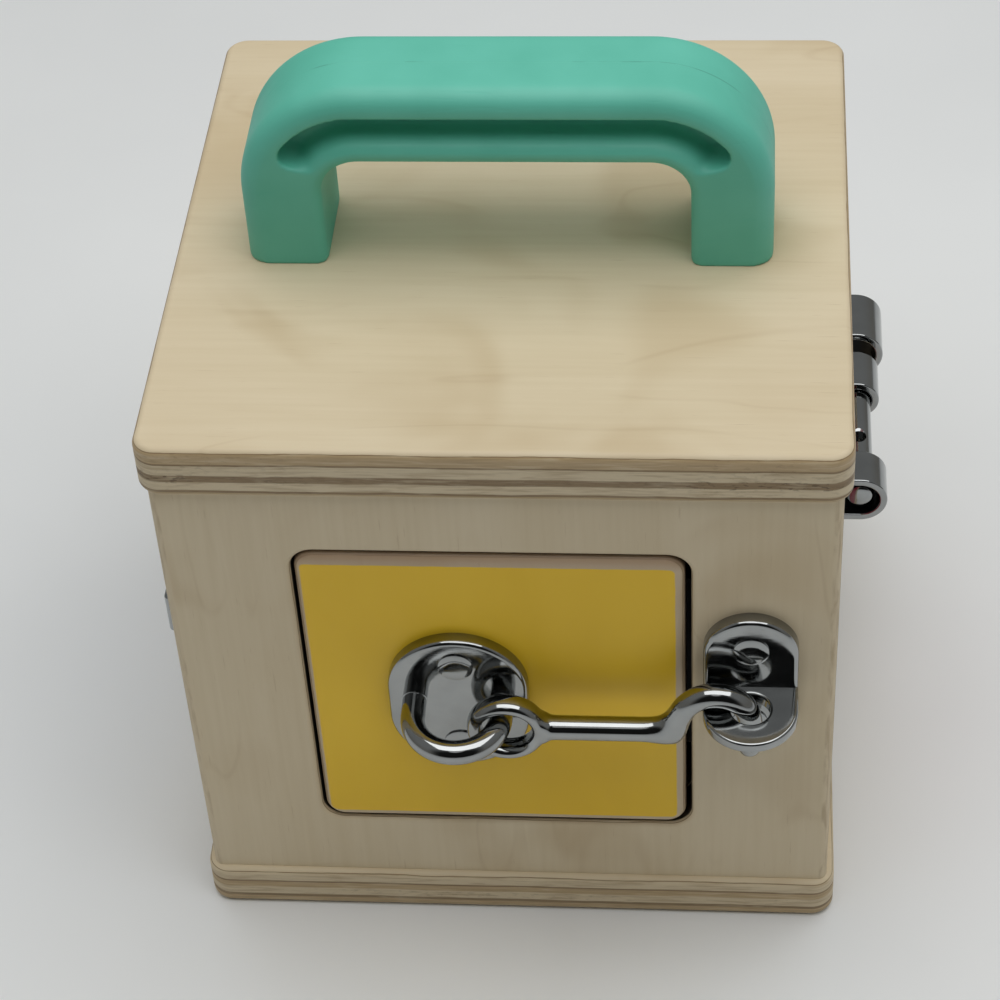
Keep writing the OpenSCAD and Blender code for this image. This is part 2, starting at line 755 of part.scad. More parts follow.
// Hook in the plane of its own shank: eye, shank, heel, rising part, arch and point
module latch_hook() {
    arch_x = hook_reach - hook_arch_r;
    arch_z = hook_rise - hook_arch_r;
    rise_l = (hook_rise - (hook_heel_r + hook_arch_r) * (1 - cos(hook_slope))) / sin(hook_slope);
    heel_x = arch_x - (hook_heel_r + hook_arch_r) * sin(hook_slope) - rise_l * cos(hook_slope);
    shank_x = hook_eye_mid + hook_neck_l;
    color(chrome) on_front() translate([hook_eye_x, -hook_off, latch_z]) rotate([90, 0, 0]) {
        rotate_extrude() translate([hook_eye_mid, 0]) eye_section();
        translate([hook_eye_mid, 0, 0]) rotate([0, 90, 0])
            cylinder(d1 = hook_neck_d, d2 = hook_d, h = hook_neck_l);
        translate([shank_x, 0, 0]) rotate([0, 90, 0]) cylinder(d = hook_d, h = heel_x - shank_x);
        translate([heel_x, hook_heel_r, 0]) rotate([0, 0, -90])
            rotate_extrude(angle = hook_slope) translate([hook_heel_r, 0]) circle(d = hook_d);
        translate([heel_x + hook_heel_r * sin(hook_slope), hook_heel_r * (1 - cos(hook_slope)), 0])
            rotate([0, 90, hook_slope]) {
                translate([0, 0, bend_gap]) cylinder(d = hook_d, h = rise_l - 2 * bend_gap);
                for (z = [0, rise_l]) translate([0, 0, z]) sphere(d = hook_d + 2 * bend_proud);
            }
        translate([arch_x, arch_z, 0])
            rotate_extrude(angle = 90 + hook_slope) translate([hook_arch_r, 0]) circle(d = hook_d);
        translate([hook_reach, arch_z, 0]) rotate([-90, 0, 0]) round_rod(hook_d, arch_z + hook_drop);
    }
}

// Round-fronted outline of the catch's shelf, about its hole, back to the wall's face
module shelf_outline() {
    difference() {
        circle(d = catch_w);
        translate([-catch_w / 2, hook_off]) square(catch_w);
    }
    translate([-catch_w / 2, 0]) square([catch_w, hook_off]);
}

// Catch plate with the shelf that the hook drops through
module catch_plate() {
    color(chrome) on_front() difference() {
        union() {
            against(catch_x, catch_z) pill(catch_w, catch_h, plate_t, plate_round);
            translate([catch_x, -hook_off, latch_z + shelf_rise - shelf_t])
                linear_extrude(shelf_t) shelf_outline();
        }
        metal_holes(catch_spots, plate_t);
        translate([catch_x, -hook_off, latch_z + shelf_rise - shelf_t - cut])
            cylinder(d = shelf_hole_d, h = shelf_t + 2 * cut);
    }
}

module catch_rivets() { color(chrome) on_front() rivets(catch_spots, plate_t); }

// Bolt's back plate with its two guides
module bolt_guide() {
    plate_l = guide_rear_x1 - bolt_plate_x0;
    color(chrome) on_right() difference() {
        union() {
            against(bolt_plate_x0 + plate_l / 2, latch_z)
                linear_extrude(bolt_plate_t) round_rect(plate_l, bolt_plate_h, bolt_plate_r);
            rod_loop(guide_front_x0, guide_front_l, guide_slack, bolt_plate_t / 2);
            rod_loop(guide_rear_x0, guide_rear_l, pass_gap, bolt_plate_t / 2);
        }
        metal_holes(bolt_spots, bolt_plate_t);
    }
}

module bolt_guide_rivets() { color(chrome) on_right() rivets(bolt_spots, bolt_plate_t); }

module bolt_rod() {
    rod_l = rod_x1 - rod_x0;
    end_d = rod_d - 2 * rod_chamfer;
    color(chrome) on_right() difference() {
        translate([rod_x0, -rod_off, latch_z]) rotate([0, 90, 0]) {
            cylinder(d1 = end_d, d2 = rod_d, h = rod_chamfer);
            translate([0, 0, rod_chamfer]) cylinder(d = rod_d, h = rod_l - 2 * rod_chamfer);
            translate([0, 0, rod_l - rod_chamfer]) cylinder(d1 = rod_d, d2 = end_d, h = rod_chamfer);
        }
        translate([knob_x, -rod_off, latch_z - rod_d]) cylinder(d = knob_stem_d, h = 2 * rod_d);
    }
}

// Knob that hangs from the rod on a stem set into a cross hole
module bolt_knob() {
    shoulder = rod_d / 2 + knob_seat;
    stem_top = rod_d / 2 - stem_sink;
    color(chrome) on_right() translate([knob_x, -rod_off, latch_z]) {
        translate([0, 0, -shoulder - cut]) cylinder(d = knob_stem_d, h = shoulder + cut + stem_top);
        translate([0, 0, -shoulder]) round_rod(knob_d, knob_l - shoulder);
    }
}

// Keeper on the wall that the rod shoots into, with an ear above and below
module bolt_keeper() {
    color(chrome) on_right() difference() {
        union() {
            rod_loop(keeper_x0, keeper_l, keeper_slack, 0);
            for (s = [-1, 1])
                against(keeper_x0 + keeper_l / 2, latch_z + s * (keeper_half + keeper_ear / 2 - strap_t / 2))
                    linear_extrude(bolt_plate_t) square([keeper_l, keeper_ear + strap_t], center = true);
        }
        metal_holes(keeper_spots, bolt_plate_t);
    }
}

module bolt_keeper_rivets() { color(chrome) on_right() rivets(keeper_spots, bolt_plate_t); }

module turn_plate() {
    color(chrome) on_left() difference() {
        against(turn_x, latch_z) pill(turn_plate_w, turn_plate_h, turn_plate_t, turn_plate_t / 2);
        metal_holes(turn_spots, turn_plate_t);
        against(turn_x, latch_z, -cut) cylinder(d = spindle_d + 2 * turn_clear, h = turn_plate_t + 2 * cut);
    }
}

module turn_plate_rivets() { color(chrome) on_left() rivets(turn_spots, turn_plate_t); }

// Spindle through the plate and the door, from inside the grip to inside the nut
module turn_spindle() {
    inner = door_t + pass_gap + nut_t;
    color(steel) on_left() against(turn_x, latch_z, -inner)
        cylinder(d = spindle_d, h = inner + grip_y + grip_t / 2);
}

// Tongue that points up when the door is free
module turn_tongue() {
    color(chrome) on_left() against(turn_x, latch_z, tongue_y) difference() {
        linear_extrude(tongue_t) {
            circle(d = spindle_d + 2 * tongue_hub);
            translate([-tongue_w / 2, 0]) square([tongue_w, tongue_l - tongue_tip_r]);
            translate([tongue_tip_r - tongue_w / 2, 0]) square([tongue_w - 2 * tongue_tip_r, tongue_l]);
            for (x = [-1, 1])
                translate([x * (tongue_w / 2 - tongue_tip_r), tongue_l - tongue_tip_r]) circle(tongue_tip_r);
        }
        translate([0, 0, -cut]) cylinder(d = spindle_d, h = tongue_t + 2 * cut);
    }
}

module turn_grip() {
    color(chrome) on_left() against(turn_x, latch_z, grip_y) difference() {
        union() {
            translate([0, 0, -neck_h]) cylinder(d = spindle_d + 2 * neck_wall, h = neck_h + grip_t / 2);
            pill(grip_w, grip_l, grip_t, grip_edge_r);
        }
        translate([0, 0, -neck_h - cut]) cylinder(d = spindle_d, h = neck_h + cut + grip_t / 2);
    }
}

module turn_nut() {
    color(steel) on_left() against(turn_x, latch_z, -door_t - pass_gap - nut_t) difference() {
        cylinder(d = nut_w / cos(30), h = nut_t, $fn = 6);
        translate([0, 0, -cut]) cylinder(d = spindle_d, h = nut_t + 2 * cut);
    }
}

// Keeper on the wall: a foot on the wall and a lip that stands off towards the door
module turn_keeper() {
    color(chrome) on_left() difference() {
        translate([0, 0, latch_z - lip_h / 2]) mirror([0, 1, 0]) {
            translate([lip_x1 - lip_t, 0, 0]) cube([lip_foot + lip_t, lip_t, lip_h]);
            translate([lip_x1 - lip_t, 0, 0]) cube([lip_t, lip_y + lip_t, lip_h]);
            translate([lip_x0, lip_y, 0]) cube([lip_l, lip_t, lip_h]);
        }
        metal_holes(lip_spots, lip_t);
    }
}

module turn_keeper_rivets() { color(chrome) on_left() rivets(lip_spots, lip_t); }

base_plate();
top_plate();
front_wall();
back_wall();
left_wall();
right_wall();
top_dowels();
base_dowels();
carry_handle();
handle_screws();
front_door_pins();
right_door_pins();
left_door_pins();
front_door_stop();
right_door_stop();
left_door_stop();
catch_plate();
catch_rivets();
bolt_keeper();
bolt_keeper_rivets();
turn_keeper();
turn_keeper_rivets();
front_door();
eye_plate();
eye_ring();
eye_rivets();
latch_hook();
right_door();
bolt_guide();
bolt_guide_rivets();
bolt_rod();
bolt_knob();
left_door();
turn_plate();
turn_plate_rivets();
turn_spindle();
turn_tongue();
turn_grip();
turn_nut();
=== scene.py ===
import bpy
import bmesh
import math
from mathutils import Matrix, Vector


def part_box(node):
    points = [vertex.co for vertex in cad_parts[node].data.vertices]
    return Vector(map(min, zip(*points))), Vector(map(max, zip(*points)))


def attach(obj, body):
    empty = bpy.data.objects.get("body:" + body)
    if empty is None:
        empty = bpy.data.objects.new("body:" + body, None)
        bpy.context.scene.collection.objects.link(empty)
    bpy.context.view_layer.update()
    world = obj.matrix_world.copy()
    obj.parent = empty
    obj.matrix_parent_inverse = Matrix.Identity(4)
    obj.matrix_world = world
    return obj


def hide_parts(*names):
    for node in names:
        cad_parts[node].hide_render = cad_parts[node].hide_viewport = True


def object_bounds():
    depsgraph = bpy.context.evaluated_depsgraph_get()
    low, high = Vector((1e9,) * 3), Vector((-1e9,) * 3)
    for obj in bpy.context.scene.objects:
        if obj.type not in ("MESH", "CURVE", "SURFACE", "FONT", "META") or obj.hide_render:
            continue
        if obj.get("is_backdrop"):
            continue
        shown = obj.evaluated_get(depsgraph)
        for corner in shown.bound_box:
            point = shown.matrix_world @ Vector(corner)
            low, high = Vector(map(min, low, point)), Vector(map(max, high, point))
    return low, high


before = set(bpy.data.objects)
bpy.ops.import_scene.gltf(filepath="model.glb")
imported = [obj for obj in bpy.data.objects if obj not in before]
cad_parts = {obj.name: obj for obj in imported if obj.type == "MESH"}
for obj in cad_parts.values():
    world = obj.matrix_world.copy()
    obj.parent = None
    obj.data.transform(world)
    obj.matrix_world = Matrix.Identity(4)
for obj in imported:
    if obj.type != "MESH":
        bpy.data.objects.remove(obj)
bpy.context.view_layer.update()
scene = bpy.context.scene
scene.view_settings.view_transform = "Standard"
mm = 0.001
hair = 1e-6  # metres, for telling points apart
print("frame loaded,", len(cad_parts), "nodes")


# camera, fitted to the corners of the case
photoCamera = {"yaw": -6.683, "pitch": 43.46, "roll": -3.834, "place": (47.8, -462.9, 501.7),
               "focalPixels": 2812, "imagePixels": 1000, "sensor": 36}


def addCamera(spec):
    yaw, pitch, roll = (math.radians(spec[k]) for k in ("yaw", "pitch", "roll"))
    ahead = Vector((math.sin(yaw) * math.cos(pitch), math.cos(yaw) * math.cos(pitch), -math.sin(pitch)))
    right = Vector((math.cos(yaw), -math.sin(yaw), 0))
    up = right.cross(ahead)
    turnedRight = right * math.cos(roll) + up * math.sin(roll)
    turnedUp = up * math.cos(roll) - right * math.sin(roll)
    data = bpy.data.cameras.new("photoCamera")
    data.sensor_width = spec["sensor"]
    data.lens = spec["sensor"] * spec["focalPixels"] / spec["imagePixels"]
    camera = bpy.data.objects.new("photoCamera", data)
    turn = Matrix((turnedRight, turnedUp, -ahead)).transposed().to_4x4()
    camera.matrix_world = Matrix.Translation(Vector(spec["place"]) * mm) @ turn
    scene.collection.objects.link(camera)
    scene.camera = camera


addCamera(photoCamera)


# nodes for materials
def tone(code):  # hex colour as the screen shows it, to the linear one that a socket takes
    parts = [int(code[i:i + 2], 16) / 255 for i in (1, 3, 5)]
    return [c / 12.92 if c <= 0.04045 else ((c + 0.055) / 1.055) ** 2.4 for c in parts] + [1]


def newMaterial(name, roughness=0.5):
    material = bpy.data.materials.new(name)
    material.use_nodes = True
    shader = material.node_tree.nodes["Principled BSDF"]
    shader.inputs["Roughness"].default_value = roughness
    return material, material.node_tree, shader


def put(tree, kind, sockets=None, **settings):
    made = tree.nodes.new(kind)
    for name, value in settings.items():
        setattr(made, name, value)
    for key, value in (sockets or {}).items():
        if isinstance(value, bpy.types.NodeSocket):
            tree.links.new(value, made.inputs[key])
        else:
            made.inputs[key].default_value = value
    return made


def calc(tree, operation, *values):
    return put(tree, "ShaderNodeMath", dict(enumerate(values)), operation=operation).outputs[0]


def between(tree, value, low, high, outLow=0.0, outHigh=1.0, smooth=False):
    style = "SMOOTHSTEP" if smooth else "LINEAR"
    sockets = {"Value": value, "From Min": low, "From Max": high, "To Min": outLow, "To Max": outHigh}
    return put(tree, "ShaderNodeMapRange", sockets, interpolation_type=style).outputs["Result"]


def blendColour(tree, amount, first, second):
    return put(tree, "ShaderNodeMix", {0: amount, 6: first, 7: second}, data_type="RGBA").outputs[2]


def places(tree):
    coords = put(tree, "ShaderNodeTexCoord").outputs["Object"]
    axes = put(tree, "ShaderNodeSeparateXYZ", {0: coords}).outputs
    return coords, axes


def stretchedNoise(tree, coords, perMetre, detail=3.0, distortion=0.0, shift=(0, 0, 0)):
    laid = put(tree, "ShaderNodeMapping", {"Vector": coords, "Scale": perMetre, "Location": shift})
    sockets = {"Vector": laid.outputs[0], "Scale": 1.0, "Detail": detail, "Distortion": distortion}
    return put(tree, "ShaderNodeTexNoise", sockets).outputs["Fac"]


def addBump(tree, shader, height, strength, depth):
    made = put(tree, "ShaderNodeBump", {"Height": height, "Strength": strength, "Distance": depth})
    tree.links.new(made.outputs[0], shader.inputs["Normal"])


# birch plywood: face veneer with its figure, and the plies that show round the edges
# two entries carry painted shade: the near-black one for cut edges deep in the door gaps, and the one for the brown end
# grain with shade along a door's top edge
birch = {"face": "#dfcfb0", "faceDark": "#d0bd99", "figure": "#c4ad86", "pore": "#b59a73", "headGrainAndShade": "#b2957a",
         "light": "#d9c8a8", "brown": "#c1a881", "dark": "#8a7353", "glue": "#8a7250", "streak": "#a8906c",
         "flecks": "#5d4830", "flecked": 0.2, "char": "#241b15", "gapShadeFrom": 1.0, "gapShadeOver": 0.35, "faceDeep": 0.5}

# depth below the outer face in mm, then the ply's colour
twelvePlies = [(0.0, "glue"), (0.62, "glue"), (0.75, "brown"), (3.1, "brown"), (3.25, "glue"), (3.55, "glue"),
               (3.7, "light"), (6.1, "light"), (6.3, "dark"), (7.8, "dark"), (8.05, "light"), (10.0, "light"),
               (10.15, "glue"), (10.6, "glue"), (10.8, "brown")]
elevenPlies = [(0.0, "glue"), (0.62, "glue"), (0.75, "light"), (3.0, "light"), (3.15, "glue"), (3.5, "glue"),
               (3.65, "brown"), (5.2, "brown"), (5.35, "light"), (7.6, "light"), (7.75, "dark"), (8.4, "dark"),
               (8.55, "brown")]
tenPlies = [(0.0, "glue"), (0.62, "glue"), (0.75, "light"), (2.3, "light"), (2.4, "glue"), (2.6, "glue"),
            (2.7, "brown"), (4.3, "brown"), (4.45, "light"), (6.0, "light"), (6.15, "brown"), (7.8, "brown"),
            (7.9, "glue"), (8.1, "glue"), (8.2, "light")]


def grainScale(grain, along, across):  # pattern lengths per metre, long along the grain
    return [along if axis == grain else across for axis in range(3)]


def veneer(tree, coords, grain, seed):
    shift = (seed * 3.7, seed * 1.9, seed * 2.3)
    fibre = stretchedNoise(tree, coords, grainScale(grain, 26, 640), 5, 0.2, shift)
    bands = stretchedNoise(tree, coords, grainScale(grain, 4, 44), 3, 0.5, shift)
    smudge = stretchedNoise(tree, coords, [19] * 3, 2, 1.2, shift)
    sweep = stretchedNoise(tree, coords, grainScale(grain, 7, 21), 2, 1.8, shift)
    pores = stretchedNoise(tree, coords, grainScale(grain, 120, 2100), 2, 0, shift)
    mottle = calc(tree, "ADD", calc(tree, "MULTIPLY", fibre, 0.35), calc(tree, "MULTIPLY", bands, 0.65))
    colour = blendColour(tree, between(tree, mottle, 0.38, 0.7, 0, 0.7), tone(birch["face"]), tone(birch["faceDark"]))
    colour = blendColour(tree, between(tree, smudge, 0.48, 0.72, 0, 0.5, True), colour, tone(birch["figure"]))
    ring = calc(tree, "PINGPONG", calc(tree, "MULTIPLY", sweep, 4.0), 0.5)  # thin contour lines of the sweep
    line = calc(tree, "MULTIPLY", between(tree, ring, 0.0, 0.09, 0.2, 0.0, True), between(tree, smudge, 0.42, 0.62))
    colour = blendColour(tree, line, colour, tone(birch["pore"]))
    colour = blendColour(tree, between(tree, pores, 0.68, 0.78, 0, 0.3), colour, tone(birch["pore"]))
    return colour, fibre


def plyEdge(tree, coords, depth, plies, thick, lay, seed, rough):
    shift = (seed, seed * 2, seed * 3)
    streak = stretchedNoise(tree, coords, grainScale(lay, 1700, 110), 5, 0.5, shift)
    fleck = stretchedNoise(tree, coords, grainScale(lay, 1500, 560), 4, 0.3, shift)
    patch = stretchedNoise(tree, coords, [32] * 3, 2, 0, shift)
    ramp = put(tree, "ShaderNodeValToRGB", {0: depth})
    stops = ramp.color_ramp.elements
    stops[0].position, stops[0].color = 0, tone(birch[plies[0][1]])
    stops.remove(stops[1])
    for place, shade in plies[1:]:
        stop = stops.new(place * mm / thick)
        stop.color = tone(birch[shade])
    colour = blendColour(tree, between(tree, streak, 0.46, 0.68, 0, 0.55), ramp.outputs[0], tone(birch["streak"]))
    colour = blendColour(tree, between(tree, streak, 0.47, 0.32, 0, 0.45), colour, tone(birch["light"]))
    offMiddle = calc(tree, "ABSOLUTE", calc(tree, "SUBTRACT", depth, 0.59))
    middle = between(tree, offMiddle, 0.06, 0.1, 1, 0.2)  # roughest ply
    patchy = calc(tree, "MULTIPLY", middle, between(tree, patch, 0.42, 0.6, 0.2, 1))
    specks = calc(tree, "MULTIPLY", between(tree, fleck, 0.55, 0.64, 0, rough), patchy)
    return blendColour(tree, specks, colour, tone(birch["flecks"])), fleck


def birchColour(tree, spec):
    coords, axes = places(tree)
    lay = spec["lay"]
    turnIn = spec["inward"] / spec["thick"]
    wavy = stretchedNoise(tree, coords, [75] * 3, 3, 0, (0, spec["seed"], 0))
    shake = calc(tree, "MULTIPLY_ADD", wavy, 0.06, -0.03)
    depth = calc(tree, "ADD", calc(tree, "MULTIPLY_ADD", axes[lay], turnIn, -spec["outer"] * turnIn), shake)
    colour, fibre = veneer(tree, coords, spec["grain"], spec["seed"])
    if "cut" in spec:  # corner strip, where rounding has gone through the face veneer
        axis, start = spec["strip"]
        fromMiddle = calc(tree, "ABSOLUTE", axes[axis])
        depth = calc(tree, "ADD", depth, between(tree, fromMiddle, start, start + 0.3 * mm, 0, 0.09))
    edge, fleck = plyEdge(tree, coords, depth, spec["plies"], spec["thick"], lay, spec["seed"],
                          spec.get("flecked", birch["flecked"]))
    if "cut" in spec:  # painted shade: sawn edges of a doorway and its door, darkened deeper in where the narrow gap lies in shade
        gapShadeDepths = (birch["gapShadeFrom"], birch["gapShadeFrom"] + birch["gapShadeOver"])
        gapShaded = between(tree, depth, *(d * mm / spec["thick"] for d in gapShadeDepths), 0, 0.95)
        axis, reach = spec["cut"]
        near = between(tree, calc(tree, "ABSOLUTE", axes[axis]), reach, reach + 1 * mm, 1, 0)
        edge = blendColour(tree, calc(tree, "MULTIPLY", gapShaded, near), edge, tone(birch["char"]))
    skin = birch["faceDeep"] * mm / spec["thick"]
    front = between(tree, depth, skin, skin * 1.12, 1, 0)
    back = between(tree, depth, 1 - skin * 1.12, 1 - skin)
    facing = put(tree, "ShaderNodeSeparateXYZ", {0: put(tree, "ShaderNodeNewGeometry").outputs["Normal"]}).outputs[lay]
    level = between(tree, calc(tree, "ABSOLUTE", facing), 0.985, 0.997)
    flat = calc(tree, "MAXIMUM", calc(tree, "MAXIMUM", front, back), level)
    relief = calc(tree, "ADD", calc(tree, "MULTIPLY", fibre, 0.35), calc(tree, "MULTIPLY", fleck, -0.3))
    height = calc(tree, "ADD", calc(tree, "MULTIPLY", flat, 0.35), relief)
    return blendColour(tree, flat, edge, colour), height, axes, coords


def plywood(name, spec):
    material, tree, shader = newMaterial(name)
    colour, height, _, coords = birchColour(tree, spec)
    tree.links.new(colour, shader.inputs["Base Color"])
    wear = stretchedNoise(tree, coords, [38] * 3, 3)
    tree.links.new(between(tree, wear, 0.3, 0.7, 0.46, 0.6), shader.inputs["Roughness"])
    addBump(tree, shader, height, 0.25, 0.0002)
    return material


doorPaint = {"margins": (1.2, 2.0, 2.15, 2.9), "corner": 1.3, "ragged": 0.4, "soft": 0.16}  # hinge, latch, sill, head


def paintedDoor(name, spec, paint, shade):
    material, tree, shader = newMaterial(name)
    wood, height, axes, coords = birchColour(tree, spec)
    corner = doorPaint["corner"] * mm
    out = []
    for axis, low, high in spec["field"]:
        middle, half = (low + high) / 2, (high - low) / 2
        away = calc(tree, "ABSOLUTE", calc(tree, "SUBTRACT", axes[axis], middle))
        out.append(calc(tree, "MAXIMUM", calc(tree, "SUBTRACT", away, half - corner), 0.0))
    squares = [calc(tree, "MULTIPLY", side, side) for side in out]
    past = calc(tree, "SUBTRACT", calc(tree, "SQRT", calc(tree, "ADD", *squares)), corner)
    ragged = stretchedNoise(tree, coords, [260] * 3, 4)
    stray = doorPaint["ragged"] * mm
    past = calc(tree, "ADD", past, calc(tree, "MULTIPLY_ADD", ragged, stray, -stray / 2))
    inside = between(tree, past, -doorPaint["soft"] * mm, doorPaint["soft"] * mm, 1, 0, True)
    sunk = calc(tree, "ABSOLUTE", calc(tree, "SUBTRACT", axes[spec["lay"]], spec["outer"]))
    painted = calc(tree, "MULTIPLY", inside, between(tree, sunk, 0.1 * mm, 0.4 * mm, 1, 0))
    cloudy = stretchedNoise(tree, coords, grainScale(2, 14, 40), 3, 0.4)
    coat = blendColour(tree, between(tree, cloudy, 0.3, 0.7), tone(paint), tone(shade))
    # darker band at the door's top edge: brown end grain of the rounding, with painted shade from the doorway's head
    # above it
    head = spec["field"][1][2]
    headGrainAndShade = between(tree, axes[2], head - 1 * mm, head + 1.5 * mm, 0.35, 0.75)
    wood = blendColour(tree, headGrainAndShade, wood, tone(birch["headGrainAndShade"]))
    tree.links.new(blendColour(tree, painted, wood, coat), shader.inputs["Base Color"])
    peel = stretchedNoise(tree, coords, [900] * 3, 2)
    tree.links.new(between(tree, cloudy, 0.3, 0.7, 0.36, 0.46), shader.inputs["Roughness"])
    film = calc(tree, "ADD", calc(tree, "MULTIPLY", peel, 0.12), calc(tree, "MULTIPLY", painted, 0.4))
    surface = calc(tree, "ADD", calc(tree, "MULTIPLY", height, 0.5), film)
    addBump(tree, shader, surface, 0.3, 0.0002)
    return material


def barePlain(name, light, dark, grain):  # solid wood of dowels and stops
    material, tree, shader = newMaterial(name, 0.6)
    coords = places(tree)[0]
    fibre = stretchedNoise(tree, coords, grainScale(grain, 40, 900), 4)
    tree.links.new(blendColour(tree, fibre, tone(light), tone(dark)), shader.inputs["Base Color"])
    addBump(tree, shader, fibre, 0.3, 0.0002)
    return material


handlePlastic = {"colour": "#68c8b2", "shade": "#5dbea7", "scuffed": "#3d8573", "rough": (0.47, 0.56), "seam": 0.25}


def mouldedPlastic(name, spec):
    material, tree, shader = newMaterial(name)
    coords, axes = places(tree)
    cloud = stretchedNoise(tree, coords, [55] * 3, 3)
    scuff = stretchedNoise(tree, coords, (90, 900, 900), 4, 0.8)
    dashes = stretchedNoise(tree, coords, (75, 20, 20), 3, 0, (2.6, 0, 0))
    grainy = stretchedNoise(tree, coords, [2600] * 3, 1)
    seam = between(tree, calc(tree, "ABSOLUTE", axes[1]), 0, spec["seam"] * mm, 1, 0, True)  # parting line of the mould
    marks = calc(tree, "MULTIPLY", seam, between(tree, dashes, 0.56, 0.64, 0, 0.55))
    colour = blendColour(tree, between(tree, cloud, 0.3, 0.7), tone(spec["colour"]), tone(spec["shade"]))
    tree.links.new(blendColour(tree, marks, colour, tone(spec["scuffed"])), shader.inputs["Base Color"])
    gloss = calc(tree, "ADD", between(tree, cloud, 0.3, 0.7, *spec["rough"]), between(tree, scuff, 0.62, 0.72, 0, 0.14))
    tree.links.new(gloss, shader.inputs["Roughness"])
    raised = calc(tree, "ADD", seam, between(tree, scuff, 0.62, 0.72, 0, -0.5))
    surface = calc(tree, "ADD", calc(tree, "MULTIPLY", grainy, 0.2), raised)
    addBump(tree, shader, surface, 0.3, 0.0001)
    return material


def platedMetal(name, colour, rough, scratch):
    material, tree, shader = newMaterial(name)
    coords = places(tree)[0]
    shader.inputs["Metallic"].default_value = 1.0
    cloud = stretchedNoise(tree, coords, [120] * 3, 4)
    lines = stretchedNoise(tree, coords, scratch, 3, 0.3)
    dulled = [c * 0.86 for c in tone(colour)[:3]] + [1]
    worn = blendColour(tree, between(tree, cloud, 0.35, 0.7), tone(colour), dulled)
    tree.links.new(worn, shader.inputs["Base Color"])
    haze = calc(tree, "ADD", between(tree, cloud, 0.35, 0.75, *rough), between(tree, lines, 0.64, 0.74, 0, 0.08))
    tree.links.new(haze, shader.inputs["Roughness"])
    addBump(tree, shader, lines, 0.06, 0.00005)
    return material


topLow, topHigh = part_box("top_plate")
baseLow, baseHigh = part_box("base_plate")
wallOut = {"front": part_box("front_wall")[0].y, "back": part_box("back_wall")[1].y,
           "left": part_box("left_wall")[0].x, "right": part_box("right_wall")[1].x}
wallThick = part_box("front_wall")[1].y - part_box("front_wall")[0].y
wallEdges = {"cutWithin": 60, "stripFrom": 66.1}  # how far from the middle of the face


def wallPly(face, seed):
    lay = 1 if face in ("front", "back") else 0
    inward = 1 if face in ("front", "left") else -1
    cut, strip = ((1 - lay, wallEdges[k] * mm) for k in ("cutWithin", "stripFrom"))
    return {"lay": lay, "inward": inward, "outer": wallOut[face], "thick": wallThick, "grain": 2, "plies": tenPlies,
            "seed": seed, "cut": cut, "strip": strip}


woodFinish = {
    "top_plate": plywood("topPly", {"lay": 2, "inward": -1, "outer": topHigh.z, "thick": topHigh.z - topLow.z,
                                    "grain": 0, "plies": twelvePlies, "seed": 1.0, "flecked": 0.75}),
    "base_plate": plywood("basePly", {"lay": 2, "inward": -1, "outer": baseHigh.z, "thick": baseHigh.z - baseLow.z,
                                      "grain": 0, "plies": elevenPlies, "seed": 2.0}),
}
for seed, face in enumerate(("front", "back", "left", "right")):
    woodFinish[face + "_wall"] = plywood(face + "WallPly", wallPly(face, 3.0 + seed))
doorColours = {"front": ("#f7cb1e", "#efc214"), "right": ("#b32a40", "#a52339"), "left": ("#2f70b0", "#29649f")}
for face, (paint, shade) in doorColours.items():
    low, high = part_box(face + "_door")
    hinge, latch, sill, head = (m * mm for m in doorPaint["margins"])
    across = 0 if face == "front" else 1
    if face == "left":
        hinge, latch = latch, hinge  # seen from outside, left door runs towards -Y
    spec = wallPly(face, 8.0)
    spec["field"] = [(across, low[across] + hinge, high[across] - latch), (2, low.z + sill, high.z - head)]
    woodFinish[face + "_door"] = paintedDoor(face + "DoorPaint", spec, paint, shade)
    gapShadeWood = barePlain(face + "StopPaintedShade", "#2b241d", "#1d1712", 2)  # painted shade: dark, it shows in the gap beside the door, which lies in shade
    woodFinish[face + "_door_stop"] = gapShadeWood
woodFinish["top_dowels"] = woodFinish["base_dowels"] = barePlain("dowelBeech", "#cfae7a", "#b8935f", 2)
chrome = platedMetal("chromePlate", "#a2a4a4", (0.05, 0.15), (300, 300, 3200))
# painted shade: near-black chrome for the insides of the bolt loops, which sit in shade
insideShadeChrome = platedMetal("insideShadeChrome", "#2e2f30", (0.35, 0.5), (300, 300, 3200))
steel = platedMetal("plainSteel", "#a3a6ab", (0.25, 0.4), (2600, 2600, 200))
teal = mouldedPlastic("handleTeal", handlePlastic)
pinFinish = {name + "_door_pins": steel for name in ("front", "right", "left")}
for node, material in {**woodFinish, **pinFinish}.items():
    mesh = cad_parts[node].data
    mesh.materials.clear()
    mesh.materials.append(material)
print("wood and metal finishes made")


# frames of the faces: first axis to the right seen from outside, second up, third outwards
facePlace = {
    "front": Matrix(((1, 0, 0, 0), (0, 0, -1, wallOut["front"]), (0, 1, 0, 0), (0, 0, 0, 1))),
    "right": Matrix(((0, 0, 1, wallOut["right"]), (1, 0, 0, 0), (0, 1, 0, 0), (0, 0, 0, 1))),
    "left": Matrix(((0, 0, -1, wallOut["left"]), (-1, 0, 0, 0), (0, 1, 0, 0), (0, 0, 0, 1))),
}


def faceBox(face, node):
    low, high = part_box(node)
    back = facePlace[face].inverted()
    first, second = back @ low, back @ high
    return Vector(map(min, first, second)), Vector(map(max, first, second))


def vertsOf(made):
    return [g for g in made["geom"] if isinstance(g, bmesh.types.BMVert)]


def facesOf(made, key="geom"):
    return [g for g in made[key] if isinstance(g, bmesh.types.BMFace)]


